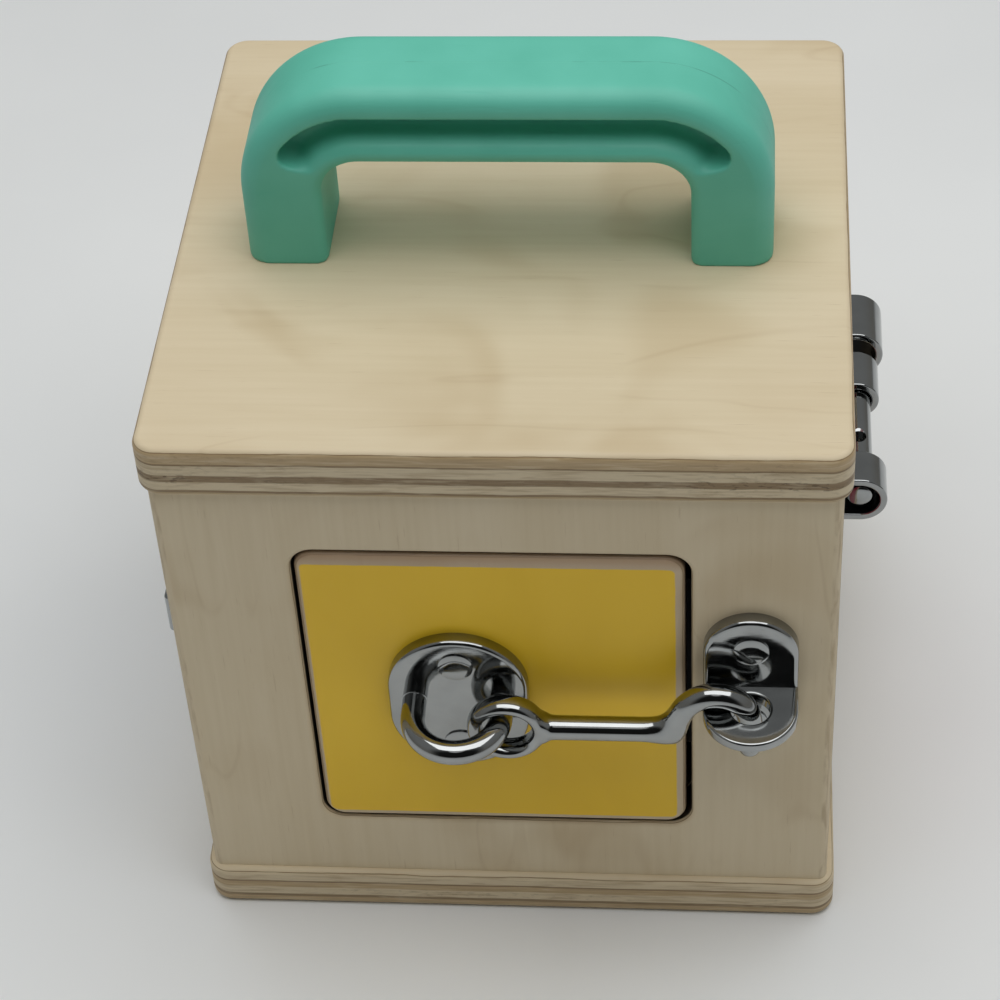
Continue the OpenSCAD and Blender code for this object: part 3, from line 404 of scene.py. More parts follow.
def joinInto(bm, part, matrix=None):
    if matrix:
        bmesh.ops.transform(part, matrix=matrix, verts=part.verts)
    scrap = bpy.data.meshes.new("scrap")
    part.to_mesh(scrap)
    part.free()
    bm.from_mesh(scrap)
    bpy.data.meshes.remove(scrap)


def roundEdges(bm, edges, size, segments):
    bmesh.ops.bevel(bm, geom=edges, offset=size, offset_type="OFFSET", segments=segments, profile=0.5,
                    affect="EDGES", material=-1, clamp_overlap=True)


def sharpEdges(bm, degrees):
    return [e for e in bm.edges if len(e.link_faces) == 2 and e.calc_face_angle() > math.radians(degrees)]


def heightStep(e):
    return abs(e.verts[0].co.z - e.verts[1].co.z)


def withEdges(faces):  # faces alone would leave their old caps inside
    return faces + list({e for f in faces for e in f.edges})


def drawOut(bm, faces, step):
    made = bmesh.ops.extrude_face_region(bm, geom=withEdges(faces))
    bmesh.ops.translate(bm, verts=vertsOf(made), vec=step)
    return facesOf(made)


def partTurn(bm, geom, centre, axis, angle, steps):
    return bmesh.ops.spin(bm, geom=geom, cent=centre, axis=axis, dvec=(0, 0, 0), angle=angle, steps=steps,
                          use_merge=False, use_duplicate=False)


def straightBar(bm, sides, radius, long, matrix):
    bmesh.ops.create_cone(bm, cap_ends=True, segments=sides, radius1=radius, radius2=radius, depth=long, matrix=matrix)


def finishPiece(bm, name, body, nodes, slotName, material, matrix=None, sharp=38, flats=True):
    bmesh.ops.remove_doubles(bm, verts=bm.verts, dist=2e-6)
    if matrix:
        bmesh.ops.transform(bm, matrix=matrix, verts=bm.verts)
    bmesh.ops.recalc_face_normals(bm, faces=bm.faces)
    loose = sum(1 for e in bm.edges if len(e.link_faces) != 2)
    mesh = bpy.data.meshes.new(name)
    bm.to_mesh(mesh)
    bm.free()
    mesh.materials.append(material)
    mesh.shade_smooth()
    mesh.set_sharp_from_angle(angle=math.radians(sharp))
    piece = bpy.data.objects.new(name, mesh)
    scene.collection.objects.link(piece)
    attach(piece, body)
    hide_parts(*nodes)
    if flats:
        weigh = piece.modifiers.new("weigh", "WEIGHTED_NORMAL")
        weigh.keep_sharp = True
    print(name, len(mesh.polygons), "faces,", loose, "open edges")
    return piece


def platedPiece(bm, face, name, body, node, **more):
    return finishPiece(bm, name, body, [node], "chrome", chrome, facePlace[face], **more)


def cutAway(piece, tools):  # takes tools' solids out of a piece and keeps the result as its mesh
    for tool in tools:
        mesh = bpy.data.meshes.new("tool")
        bmesh.ops.recalc_face_normals(tool, faces=tool.faces)
        tool.to_mesh(mesh)
        tool.free()
        cutter = bpy.data.objects.new("tool", mesh)
        scene.collection.objects.link(cutter)
        cut = piece.modifiers.new("cut", "BOOLEAN")
        cut.operation, cut.solver, cut.object = "DIFFERENCE", "EXACT", cutter
        after = bpy.data.meshes.new_from_object(piece.evaluated_get(bpy.context.evaluated_depsgraph_get()))
        piece.modifiers.remove(cut)
        before = piece.data
        after.name = before.name
        piece.data = after
        for spent in (mesh, before):
            bpy.data.meshes.remove(spent)


def pillPlate(bm, low, high, edge, steps, rings=5):
    size = high - low
    across, along = sorted((size.x, size.y))
    turn = Matrix.Rotation(math.pi / steps, 4, "Z")
    made = bmesh.ops.create_circle(bm, cap_ends=True, segments=steps, radius=across / 2, matrix=turn)
    axis = 1 if size.y >= size.x else 0
    for side in (1, -1):
        step = Vector()
        step[axis] = side * (along - across) / 2
        bmesh.ops.translate(bm, verts=[v for v in made["verts"] if v.co[axis] * side > 0], vec=step)
    front = drawOut(bm, made["verts"][0].link_faces[:], (0, 0, size.z))
    verts = set(made["verts"]) | set(front[0].verts)
    bmesh.ops.translate(bm, verts=list(verts), vec=((low.x + high.x) / 2, (low.y + high.y) / 2, low.z))
    roundEdges(bm, front[0].edges[:], edge, rings)


def pillPiece(face, name, body, node, edge, steps, rings=5):
    bm = bmesh.new()
    low, high = faceBox(face, node)
    pillPlate(bm, low, high, edge * mm, steps, rings)
    platedPiece(bm, face, name, body, node)
    return low, high


def roundedSlab(bm, low, high, corner, edge):
    part = bmesh.new()
    size = high - low
    matrix = Matrix.Translation((low + high) / 2) @ Matrix.Diagonal((*size, 1))
    bmesh.ops.create_cube(part, size=1, matrix=matrix)
    upright = [e for e in part.edges if heightStep(e) > size.z / 2]
    if corner:
        roundEdges(part, upright, corner, 6)
    rim = [e for e in sharpEdges(part, 40) if min(v.co.z for v in e.verts) > high.z - hair]
    roundEdges(part, rim, edge, 3)
    joinInto(bm, part)


def turnedPart(profile, steps):
    part = bmesh.new()
    verts = [part.verts.new((r, 0, h)) for r, h in profile]
    edges = [part.edges.new(pair) for pair in zip(verts, verts[1:])]
    bmesh.ops.spin(part, geom=verts + edges, cent=(0, 0, 0), axis=(0, 0, 1), dvec=(0, 0, 0), angle=2 * math.pi,
                   steps=steps, use_merge=True, use_duplicate=False)
    bmesh.ops.remove_doubles(part, verts=part.verts, dist=hair)
    return part


# rivets: nearly flat heads with a crisp side
rivetHead = {"wide": 7.2, "seat": 1.2, "foot": 0.35, "crown": 0.3, "sink": 0.3, "steps": 12}


def rivetPiece(face, node, body, spots):
    bm = bmesh.new()
    radius = rivetHead["wide"] / 2 * mm
    foot, crown = rivetHead["foot"] * mm, rivetHead["crown"] * mm
    base = faceBox(face, node)[1].z - rivetHead["seat"] * mm  # face of the plate the head lies on
    for x, y in spots:
        curve = [(0, base + foot + crown)]
        for i in range(1, rivetHead["steps"] + 1):
            a = math.pi / 2 * i / rivetHead["steps"]
            curve.append((radius * math.sin(a), base + foot + crown * (1 - math.sin(a) ** 5)))
        curve += [(radius, base - rivetHead["sink"] * mm), (0, base - rivetHead["sink"] * mm)]
        joinInto(bm, turnedPart(curve, 40), Matrix.Translation((x, y, 0)))
    name = "".join(w.title() if i else w for i, w in enumerate(node.split("_")))
    platedPiece(bm, face, name, body, node)


def pairSpots(face, node):  # rivets stand one above the other
    low, high = faceBox(face, node)
    radius = rivetHead["wide"] / 2 * mm
    return [((low.x + high.x) / 2, y) for y in (low.y + radius, high.y - radius)]


for face, node, body in (("front", "catch_rivets", "box"), ("front", "eye_rivets", "front_door"),
                         ("right", "bolt_keeper_rivets", "box"), ("left", "turn_plate_rivets", "left_door")):
    rivetPiece(face, node, body, pairSpots(face, node))
low, high = faceBox("left", "turn_keeper_rivets")
rivetPiece("left", "turn_keeper_rivets", "box", [((low.x + high.x) / 2, (low.y + high.y) / 2)])
low, high = faceBox("right", "bolt_guide_rivets")
inset = rivetHead["wide"] / 2 * mm
rivetPiece("right", "bolt_guide_rivets", "right_door",
           [(x, y) for x in (low.x + inset, high.x - inset) for y in (low.y + inset, high.y - inset)])


# hook latch: eye plate, half ring and catch
eyePlate = {"thick": 3.0, "edge": 1.0}
low, high = pillPiece("front", "eyePlate", "front_door", "eye_plate", eyePlate["edge"], 72)
latchHigh = (low.y + high.y) / 2
eyeAcross = (low.x + high.x) / 2

halfRing = {"bar": 5.1, "radius": 9.1, "legs": 4.5, "slope": 3, "rise": 1.2, "sunk": 1.2, "steps": 40, "sides": 28,
            "collar": 0.18, "collarFoot": 0.1, "collarTop": 0.94}
bm = bmesh.new()
plateOut = eyePlate["thick"] * mm
ringHigh = latchHigh + halfRing["rise"] * mm
ringOut = plateOut + halfRing["legs"] * mm
spot = Matrix.Translation((eyeAcross + halfRing["radius"] * mm, ringHigh, ringOut))
bmesh.ops.create_circle(bm, cap_ends=False, segments=halfRing["sides"], radius=halfRing["bar"] / 2 * mm, matrix=spot)
partTurn(bm, bm.verts[:] + bm.edges[:], (eyeAcross, ringHigh, ringOut), (0, 1, 0), -math.pi, halfRing["steps"])
made = bmesh.ops.extrude_edge_only(bm, edges=[e for e in bm.edges if e.is_boundary])
bmesh.ops.translate(bm, verts=vertsOf(made), vec=(0, 0, -(halfRing["legs"] + halfRing["sunk"]) * mm))
bmesh.ops.holes_fill(bm, edges=[e for e in bm.edges if e.is_boundary], sides=0)
droop = Matrix.Rotation(math.radians(halfRing["slope"]), 4, "X")
hang = Matrix.Translation((0, ringHigh, plateOut)) @ droop @ Matrix.Translation((0, -ringHigh, -plateOut))
bmesh.ops.transform(bm, matrix=hang, verts=bm.verts)
wide = (halfRing["bar"] / 2 + halfRing["collar"]) * mm
lip = halfRing["collar"] * mm
swage = [(0, -lip), (wide, -lip), (wide, halfRing["collarFoot"] * mm), (wide * halfRing["collarTop"], lip), (0, lip)]
for side in (-1, 1):  # edge turned up round each leg where it leaves the plate
    leg = Matrix.Translation((eyeAcross + side * halfRing["radius"] * mm, ringHigh, plateOut))
    joinInto(bm, turnedPart(swage, halfRing["sides"]), leg)
platedPiece(bm, "front", "eyeRing", "front_door", "eye_ring", flats=False)

catch = {"thick": 3.0, "edge": 1.0, "shelf": 2.6, "shelfUp": 6.8, "root": 1.5, "hole": 8.0, "rim": 0.6, "fall": 2,
         "lift": 0.2, "sides": 72}
bm = bmesh.new()
low, high = faceBox("front", "catch_plate")
pillPlate(bm, low, Vector((high.x, high.y, catch["thick"] * mm)), catch["edge"] * mm, catch["sides"])
part = bmesh.new()
shelfHalf = (high.x - low.x) / 2
shelfOut = high.z - shelfHalf
outer = bmesh.ops.create_circle(part, cap_ends=False, segments=catch["sides"], radius=shelfHalf)["verts"]
bmesh.ops.create_circle(part, cap_ends=False, segments=catch["sides"], radius=catch["hole"] / 2 * mm)
for v in outer:
    if v.co.y > hair:  # back half squared off, its end stands inside the plate
        v.co *= min(shelfHalf / max(abs(v.co.x), 1e-9), (shelfOut - catch["root"] * mm) / v.co.y)
bmesh.ops.bridge_loops(part, edges=part.edges[:])
drawOut(part, part.faces[:], (0, 0, catch["shelf"] * mm))
bmesh.ops.recalc_face_normals(part, faces=part.faces)
rim = [e for e in sharpEdges(part, 50) if heightStep(e) < hair]
roundEdges(part, rim, catch["rim"] * mm, 3)
for v in part.verts:  # top falls a little towards the front, about the line of the hole
    if v.co.z > catch["shelf"] / 2 * mm:
        v.co.z += catch["lift"] * mm + math.tan(math.radians(catch["fall"])) * v.co.y
shelfLow = latchHigh + catch["shelfUp"] * mm - catch["shelf"] * mm
lie = Matrix(((1, 0, 0, (low.x + high.x) / 2), (0, 0, 1, shelfLow), (0, -1, 0, shelfOut), (0, 0, 0, 1)))
joinInto(bm, part, lie)
platedPiece(bm, "front", "catchPlate", "box", "catch_plate")


# hook: a ring whose outer faces are drawn out along the bar, smoothed by subdivision
hook = {"eyeRadius": 6.7, "eyeBar": 3.2, "eyeDeep": 5.0, "bar": 5.0, "thick": 5.2, "eyeSteps": 24, "levels": 3,
        "neck": ((8.95, 1.03), (10.2, 1.0), (13.0, 1.0)), "shank": 20, "heelBend": 60, "heelShift": 0.7,
        "heelBefore": (7, 4.2), "heelAfter": (4.2, 6.2), "heelInner": 1.45, "heelOuter": 2.15,
        "archRadius": 7.0, "archTurn": 150, "archSteps": 6, "archDrop": 4, "tipLow": -6.3,
        "tip": ((2.2, 1.0), (0.6, 0.82), (0, 0.45))}  # height above its end, share of the bar
cageSquare = 0.93  # what subdivision leaves of a square section's half width
cageEight = 0.976  # and of an eight sided one's
low, high = faceBox("front", "latch_hook")
hookFlat = (low.z + high.z) / 2
hookMiddle = Vector((low.x + (hook["eyeRadius"] + hook["eyeBar"] / 2) * mm, latchHigh, hookFlat))
hookReach = high.x - hook["bar"] / 2 * mm - hookMiddle.x
archSide = hookReach - hook["archRadius"] * mm
archHigh = high.y - (hook["archRadius"] + hook["bar"] / 2) * mm - latchHigh
bm = bmesh.new()
half = Matrix.Diagonal((hook["eyeBar"] / 2 * mm / cageSquare, hook["eyeDeep"] / 2 * mm / cageSquare, 1, 1))
step = math.pi / hook["eyeSteps"]
middle = hook["eyeRadius"] * mm / ((2 + math.cos(2 * step)) / 3)
square = Matrix.Rotation(step, 4, "Z") @ Matrix.Translation((middle, 0, 0)) @ Matrix.Rotation(math.pi / 2, 4, "X")
bmesh.ops.create_grid(bm, x_segments=1, y_segments=1, size=1, matrix=square @ half)
bmesh.ops.delete(bm, geom=bm.faces[:], context="FACES_ONLY")
bmesh.ops.spin(bm, geom=bm.verts[:] + bm.edges[:], cent=(0, 0, 0), axis=(0, 0, 1), dvec=(0, 0, 0), angle=2 * math.pi,
               steps=hook["eyeSteps"], use_merge=True, use_duplicate=False)
bmesh.ops.recalc_face_normals(bm, faces=bm.faces)
outward = [f for f in bm.faces if f.normal.x > 0.9 and f.calc_center_median().x > middle]


def nextSection(bm, caps, before, after, radius, outer, inner):
    made = bmesh.ops.extrude_face_region(bm, geom=withEdges(caps))
    spot, turn = before
    side = Vector((-math.sin(turn), math.cos(turn), 0))
    newSpot, newTurn = after
    newSide = Vector((-math.sin(newTurn), math.cos(newTurn), 0))
    for sign in (1, -1):
        row = sorted((v for v in vertsOf(made) if v.co.z * sign > 0), key=lambda v: (v.co - spot).dot(side))
        for v, across, deep in zip(row, (-1, -0.414, 0.414, 1), (0.414, 1, 1, 0.414)):  # half of an even octagon
            stretch = inner if across > 0 else outer
            v.co = newSpot + newSide * across * radius * stretch + Vector((0, 0, sign * deep * radius))
    return facesOf(made)


bar = hook["thick"] / 2 * mm / cageEight
slope = math.radians(hook["heelBend"])
archTurn = math.radians(hook["archTurn"])
archStart = Vector((archSide, archHigh, 0)) + Vector((-math.sin(slope), math.cos(slope), 0)) * hook["archRadius"] * mm
heelAt = archStart.x - archStart.y / math.tan(slope) + hook["heelShift"] * mm
rise = Vector((archStart.x - heelAt, archStart.y, 0)).normalized()
riseTurn = math.atan2(rise.y, rise.x)
stations = [(Vector((x * mm, 0, 0)), 0.0, bar * grow) for x, grow in hook["neck"]]
stations.append((Vector((hook["shank"] * mm, 0, 0)), 0.0, bar))
stations += [(Vector((heelAt - short * mm, 0, 0)), 0.0, bar) for short in hook["heelBefore"]]
heel = len(stations)
stations.append((Vector((heelAt, 0, 0)), riseTurn / 2, bar))
stations += [(Vector((heelAt, 0, 0)) + rise * (past * mm), riseTurn, bar) for past in hook["heelAfter"]]
for i in range(hook["archSteps"] + 1):
    a = slope - archTurn * i / hook["archSteps"]
    spot = Vector((archSide, archHigh, 0)) + Vector((-math.sin(a), math.cos(a), 0)) * hook["archRadius"] * mm
    stations.append((spot, a, bar))
drops = [(archHigh - hook["archDrop"] * mm, 1.0)]
drops += [(hook["tipLow"] * mm + up * mm, grow) for up, grow in hook["tip"]]
stations += [(Vector((hookReach, drop, 0)), -math.pi / 2, bar * grow) for drop, grow in drops]
before = (Vector((middle, 0, 0)), 0.0)
caps = outward
for i, (spot, turn, radius) in enumerate(stations):
    widen = (hook["heelOuter"], hook["heelInner"]) if i == heel else (1.0, 1.0)
    caps = nextSection(bm, caps, before, (spot, turn), radius, *widen)
    before = (spot, turn)
bmesh.ops.translate(bm, verts=bm.verts, vec=hookMiddle)
piece = platedPiece(bm, "front", "latchHook", "hook", "latch_hook", sharp=180, flats=False)
smooth = piece.modifiers.new("smooth", "SUBSURF")
smooth.levels = smooth.render_levels = hook["levels"]
print("hook latch made")


# slide bolt: back plate, guides bent from strip, keeper, rod and knob
slideBolt = {"strap": 1.7, "plate": 1.5, "plateCorner": 3.0, "margin": 3.0, "edge": 0.35, "steps": 28,
             "frontLong": 9.8, "rearLong": 11.6, "frontSlack": 1.3, "rearSlack": 0.3, "keeperSlack": 1.6,
             "guideFoot": 0.6, "keeperFoot": 0.3, "keeperLap": 0.6, "inset": 0.02, "shadeWithin": 5.0, "shadeFacing": 0.8,
             "rodWide": 6.0, "rodOut": 6.4, "rodDome": 0.8, "domeSteps": 7, "hole": 3.4, "holeDeep": 3.0, "flare": 1.2,
             "flareDeep": 0.7, "rodEnd": ((0, 0.6), (0.2, 0.15), (0.6, 0)), "stemEnd": 2.2,
             "knob": ((0.7, 0), (0.93, 0.4), (1, 1.2), (1, 4.5), (0.93, 5.4), (0.72, 6.3), (0.66, 8.0), (0.72, 9.6),
                      (0.86, 10.6), (0.86, 11.6), (0.5, 11.8))}  # share of its half width, height


def strapLoop(bm, start, end, slack, foot):
    part = bmesh.new()
    inner = (slideBolt["rodWide"] / 2 + slack) * mm
    outer = inner + slideBolt["strap"] * mm
    rodOut = slideBolt["rodOut"] * mm
    corners = ((start, inner), (end, inner), (end, outer), (start, outer))
    face = part.faces.new([part.verts.new((x, y, foot)) for x, y in corners])
    crown = drawOut(part, [face], (0, 0, rodOut - foot))
    geom = crown + list(crown[0].edges) + list(crown[0].verts)
    made = partTurn(part, geom, (0, 0, rodOut), (1, 0, 0), math.pi, slideBolt["steps"])
    drawOut(part, facesOf(made, "geom_last"), (0, 0, foot - rodOut))
    bmesh.ops.recalc_face_normals(part, faces=part.faces)
    rims = [e for e in sharpEdges(part, 50) if max(v.co.z for v in e.verts) > foot + hair]
    roundEdges(part, rims, slideBolt["edge"] * mm, 3)
    joinInto(bm, part, Matrix.Translation((0, latchHigh, 0)))


def shadeLoopInsides(piece):  # painted shade: inside of a bent strap, round the rod, gets near-black chrome
    piece.data.materials.append(insideShadeChrome)
    back = facePlace["right"].inverted()
    for face in piece.data.polygons:
        spot = back @ face.center
        toRod = Vector((0, latchHigh - spot.y, min(slideBolt["rodOut"] * mm - spot.z, 0)))
        facing = (back.to_3x3() @ face.normal).dot(toRod.normalized())
        if toRod.length < slideBolt["shadeWithin"] * mm and facing > slideBolt["shadeFacing"]:
            face.material_index = 1


bm = bmesh.new()
low, high = faceBox("right", "bolt_guide")
plateHigh = Vector((high.x, high.y, slideBolt["plate"] * mm))
roundedSlab(bm, low, plateHigh, slideBolt["plateCorner"] * mm, slideBolt["edge"] * mm)
guideAt = low.x + slideBolt["margin"] * mm
inset, foot = slideBolt["inset"] * mm, slideBolt["guideFoot"] * mm
strapLoop(bm, guideAt, guideAt + slideBolt["frontLong"] * mm, slideBolt["frontSlack"], foot)
strapLoop(bm, high.x - slideBolt["rearLong"] * mm, high.x - inset, slideBolt["rearSlack"], foot)
shadeLoopInsides(platedPiece(bm, "right", "boltGuide", "right_door", "bolt_guide"))

bm = bmesh.new()
low, high = faceBox("right", "bolt_keeper")
loopHalf = (slideBolt["rodWide"] / 2 + slideBolt["keeperSlack"]) * mm
for side in (1, -1):
    inner, outer = latchHigh + side * (loopHalf + slideBolt["keeperLap"] * mm), high.y if side > 0 else low.y
    bottom, top = sorted((inner, outer))
    footHigh = Vector((high.x, top, slideBolt["plate"] * mm))
    roundedSlab(bm, Vector((low.x, bottom, 0)), footHigh, 0, slideBolt["edge"] * mm)
strapLoop(bm, low.x + inset, high.x - inset, slideBolt["keeperSlack"], slideBolt["keeperFoot"] * mm)
shadeLoopInsides(platedPiece(bm, "right", "boltKeeper", "box", "bolt_keeper"))

low, high = faceBox("right", "bolt_rod")
radius = slideBolt["rodWide"] / 2 * mm
long = high.x - low.x
dome = slideBolt["rodDome"] * mm
turns = [math.pi / 2 * (i + 1) / slideBolt["domeSteps"] for i in range(slideBolt["domeSteps"])]
profile = [(0, 0)] + [(radius * math.sin(a), dome * (1 - math.cos(a))) for a in turns]
profile += [(radius - less * mm, long - short * mm) for less, short in slideBolt["rodEnd"]] + [(0, long)]
lie = Matrix.Translation((low.x, latchHigh, slideBolt["rodOut"] * mm)) @ Matrix.Rotation(math.pi / 2, 4, "Y")
part = turnedPart(profile, 56)
bmesh.ops.transform(part, matrix=lie, verts=part.verts)
piece = platedPiece(part, "right", "boltRod", "bolt", "bolt_rod")
knobLow, knobHigh = faceBox("right", "bolt_knob")
drill, flare = bmesh.new(), bmesh.new()
holeHalf = slideBolt["hole"] / 2 * mm
stand = Matrix.Translation(((knobLow.x + knobHigh.x) / 2, latchHigh + radius, slideBolt["rodOut"] * mm))
stand = facePlace["right"] @ stand @ Matrix.Rotation(-math.pi / 2, 4, "X")
straightBar(drill, 32, holeHalf, 2 * slideBolt["holeDeep"] * mm, stand)
bmesh.ops.create_cone(flare, cap_ends=True, segments=32, radius1=holeHalf, radius2=holeHalf + slideBolt["flare"] * mm,
                      depth=slideBolt["flareDeep"] * mm, matrix=stand)
cutAway(piece, [drill, flare])

knobHalf = (knobHigh.x - knobLow.x) / 2
stemTop = knobHigh.y - knobLow.y - slideBolt["stemEnd"] * mm
profile = [(0, 0)] + [(knobHalf * share, up * mm) for share, up in slideBolt["knob"]]
profile += [(profile[-1][0], stemTop), (0, stemTop)]
part = turnedPart(profile, 40)
stand = Matrix.Translation(((knobLow.x + knobHigh.x) / 2, knobLow.y, (knobLow.z + knobHigh.z) / 2))
bmesh.ops.transform(part, matrix=stand @ Matrix.Rotation(-math.pi / 2, 4, "X"), verts=part.verts)
platedPiece(part, "right", "boltKnob", "bolt", "bolt_knob")
print("slide bolt made")


# turn latch: plate, tongue, grip, spindle and nut, and its bent keeper
turnLatch = {"edge": 0.9, "tongueWide": 7.0, "armLap": 0.4, "hub": 5.0, "tipCorner": 1.0, "tongueEdge": 0.3,
             "gripEdge": 1.4, "sheet": 1.5, "lip": 6.3, "bend": 1.2, "sheetEdge": 0.25, "spindleEdge": 0.4,
             "nutEdge": 0.35}
low, high = pillPiece("left", "turnPlate", "left_door", "turn_plate", turnLatch["edge"], 64)
turnAcross = (low.x + high.x) / 2

bm = bmesh.new()
low, high = faceBox("left", "turn_tongue")
bmesh.ops.create_circle(bm, cap_ends=True, segments=40, radius=turnLatch["hub"] * mm)
tongueEnd = high.y - latchHigh
armHalf = turnLatch["tongueWide"] / 2 * mm
top = [e for e in bm.edges if all(v.co.y > 0 and abs(v.co.x) < armHalf + turnLatch["armLap"] * mm for v in e.verts)]
made = bmesh.ops.extrude_edge_only(bm, edges=top)
for v in vertsOf(made):
    v.co.y = tongueEnd
drawOut(bm, bm.faces[:], (0, 0, high.z - low.z))
bmesh.ops.recalc_face_normals(bm, faces=bm.faces)
tips = [e for e in sharpEdges(bm, 60) if min(v.co.y for v in e.verts) > tongueEnd - hair and heightStep(e) > 1e-5]
roundEdges(bm, tips, turnLatch["tipCorner"] * mm, 5)
roundEdges(bm, [e for e in sharpEdges(bm, 60) if heightStep(e) < hair], turnLatch["tongueEdge"] * mm, 3)
bmesh.ops.translate(bm, verts=bm.verts, vec=(turnAcross, latchHigh, low.z))
platedPiece(bm, "left", "turnTongue", "turn_latch", "turn_tongue")

pillPiece("left", "turnGrip", "turn_latch", "turn_grip", turnLatch["gripEdge"], 48, 6)

bm = bmesh.new()
low, high = faceBox("left", "turn_keeper")
sheet = turnLatch["sheet"] * mm
bendAt = low.x + turnLatch["lip"] * mm
outline = ((low.x, high.z - sheet), (bendAt - sheet, high.z - sheet), (bendAt - sheet, 0), (high.x, 0),
           (high.x, sheet), (bendAt, sheet), (bendAt, high.z), (low.x, high.z))
face = bm.faces.new([bm.verts.new((x, low.y, z)) for x, z in outline])
drawOut(bm, [face], (0, high.y - low.y, 0))
bmesh.ops.recalc_face_normals(bm, faces=bm.faces)
bends = [e for e in bm.edges if abs(e.verts[0].co.y - e.verts[1].co.y) > 1e-5]
big = [e for e in bends if (abs(e.verts[0].co.x - bendAt) < hair and e.verts[0].co.z > high.z - hair)]
roundEdges(bm, big, turnLatch["bend"] * mm, 6)
roundEdges(bm, sharpEdges(bm, 50), turnLatch["sheetEdge"] * mm, 3)
platedPiece(bm, "left", "turnKeeper", "box", "turn_keeper")

bm = bmesh.new()
low, high = faceBox("left", "turn_spindle")
straightBar(bm, 40, (high.x - low.x) / 2, high.z - low.z, Matrix.Translation((low + high) / 2))
roundEdges(bm, sharpEdges(bm, 60), turnLatch["spindleEdge"] * mm, 3)
finishPiece(bm, "turnSpindle", "turn_latch", ["turn_spindle"], "steel", steel, facePlace["left"])

bm = bmesh.new()
low, high = faceBox("left", "turn_nut")
flats = min(high.x - low.x, high.y - low.y)
stand = Matrix.Translation((low + high) / 2)
lean = 0 if high.x - low.x > high.y - low.y else math.pi / 6
spin = Matrix.Rotation(lean, 4, "Z") @ Matrix.Rotation(math.pi / 2, 4, "Z")
straightBar(bm, 6, flats / math.sqrt(3), high.z - low.z, stand @ spin)
roundEdges(bm, sharpEdges(bm, 50), turnLatch["nutEdge"] * mm, 3)
finishPiece(bm, "turnNut", "turn_latch", ["turn_nut"], "steel", steel, facePlace["left"])
print("turn latch made")


# handle: a bar drawn up one leg, round the bends and down the other, with a groove along both faces
handle = {"thick": 16.8, "bend": 25.0, "bendSteps": 24, "outerEdge": 4.6, "innerEdge": 2.2, "grooveTurn": 52,
          "grooveEnd": 3.0, "endSteps": 6, "voxel": 0.5, "rounds": 3, "softness": 0.5,
          "groove": ((5.5, -1.0), (5.5, 5.6), (6.0, 6.25), (7.0, 6.4), (9.2, 6.4), (10.1, 6.0), (10.8, 5.0),
                     (11.3, 3.6), (11.8, 2.2), (12.4, 1.1), (13.2, 0.4), (14.0, 0.05), (14.4, -0.1),
                     (14.4, -1.0))}  # depth below the top, depth behind the face
low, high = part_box("carry_handle")
deep, bend, thick = high.y, handle["bend"] * mm, handle["thick"] * mm
bendSide, bendHigh = high.x - bend, high.z - bend


def turnBend(bm, caps, side, angle):
    geom = withEdges(caps) + list({v for f in caps for v in f.verts})
    made = partTurn(bm, geom, (side * bendSide, 0, bendHigh), (0, 1, 0), angle, handle["bendSteps"])
    return facesOf(made, "geom_last")


def reach(v):  # distance from the line that the bends turn about
    return math.hypot(max(abs(v.co.x) - bendSide, 0), max(v.co.z - bendHigh, 0))


def lengthwise(bm, inside):
    near, far = (0, bend - thick + hair) if inside else (bend - hair, bend + hair)
    return [e for e in bm.edges if e.verts[0].co.y * e.verts[1].co.y > 0
            and all(near <= reach(v) <= far and abs(v.co.y) > deep - hair for v in e.verts)]


def grooveTool(side):
    tool = bmesh.new()
    line = [(0, side * (deep - inner * mm), high.z - below * mm) for below, inner in handle["groove"]]
    start = tool.faces.new([tool.verts.new(spot) for spot in line])
    caps = drawOut(tool, [start], (bendSide, 0, 0))
    turn = math.radians(handle["grooveTurn"])
    caps = turnBend(tool, caps, 1, turn)
    middle = bend - thick / 2
    end = handle["grooveEnd"] * mm
    for i in range(1, handle["endSteps"] + 1):  # round end, closed just short of its pole
        a, b = (math.pi / 2 * n / (handle["endSteps"] + 0.4) for n in (i - 1, i))
        made = bmesh.ops.extrude_face_region(tool, geom=withEdges(caps))
        step = end * (math.sin(b) - math.sin(a)) / middle
        turn += step
        bmesh.ops.rotate(tool, cent=(bendSide, 0, bendHigh), matrix=Matrix.Rotation(step, 3, "Y"), verts=vertsOf(made))
        pivot = Vector((bendSide + middle * math.sin(turn), side * deep, bendHigh + middle * math.cos(turn)))
        size = math.cos(b) / math.cos(a)
        bmesh.ops.scale(tool, vec=(size, size, size), space=Matrix.Translation(-pivot), verts=vertsOf(made))
        caps = facesOf(made)
    first = [f for f in tool.faces if all(abs(v.co.x) < 1e-7 for v in f.verts)]
    bmesh.ops.delete(tool, geom=first, context="FACES_ONLY")
    geom = tool.verts[:] + tool.edges[:] + tool.faces[:]
    bmesh.ops.mirror(tool, geom=geom, matrix=Matrix(), merge_dist=hair, axis="X")
    return tool


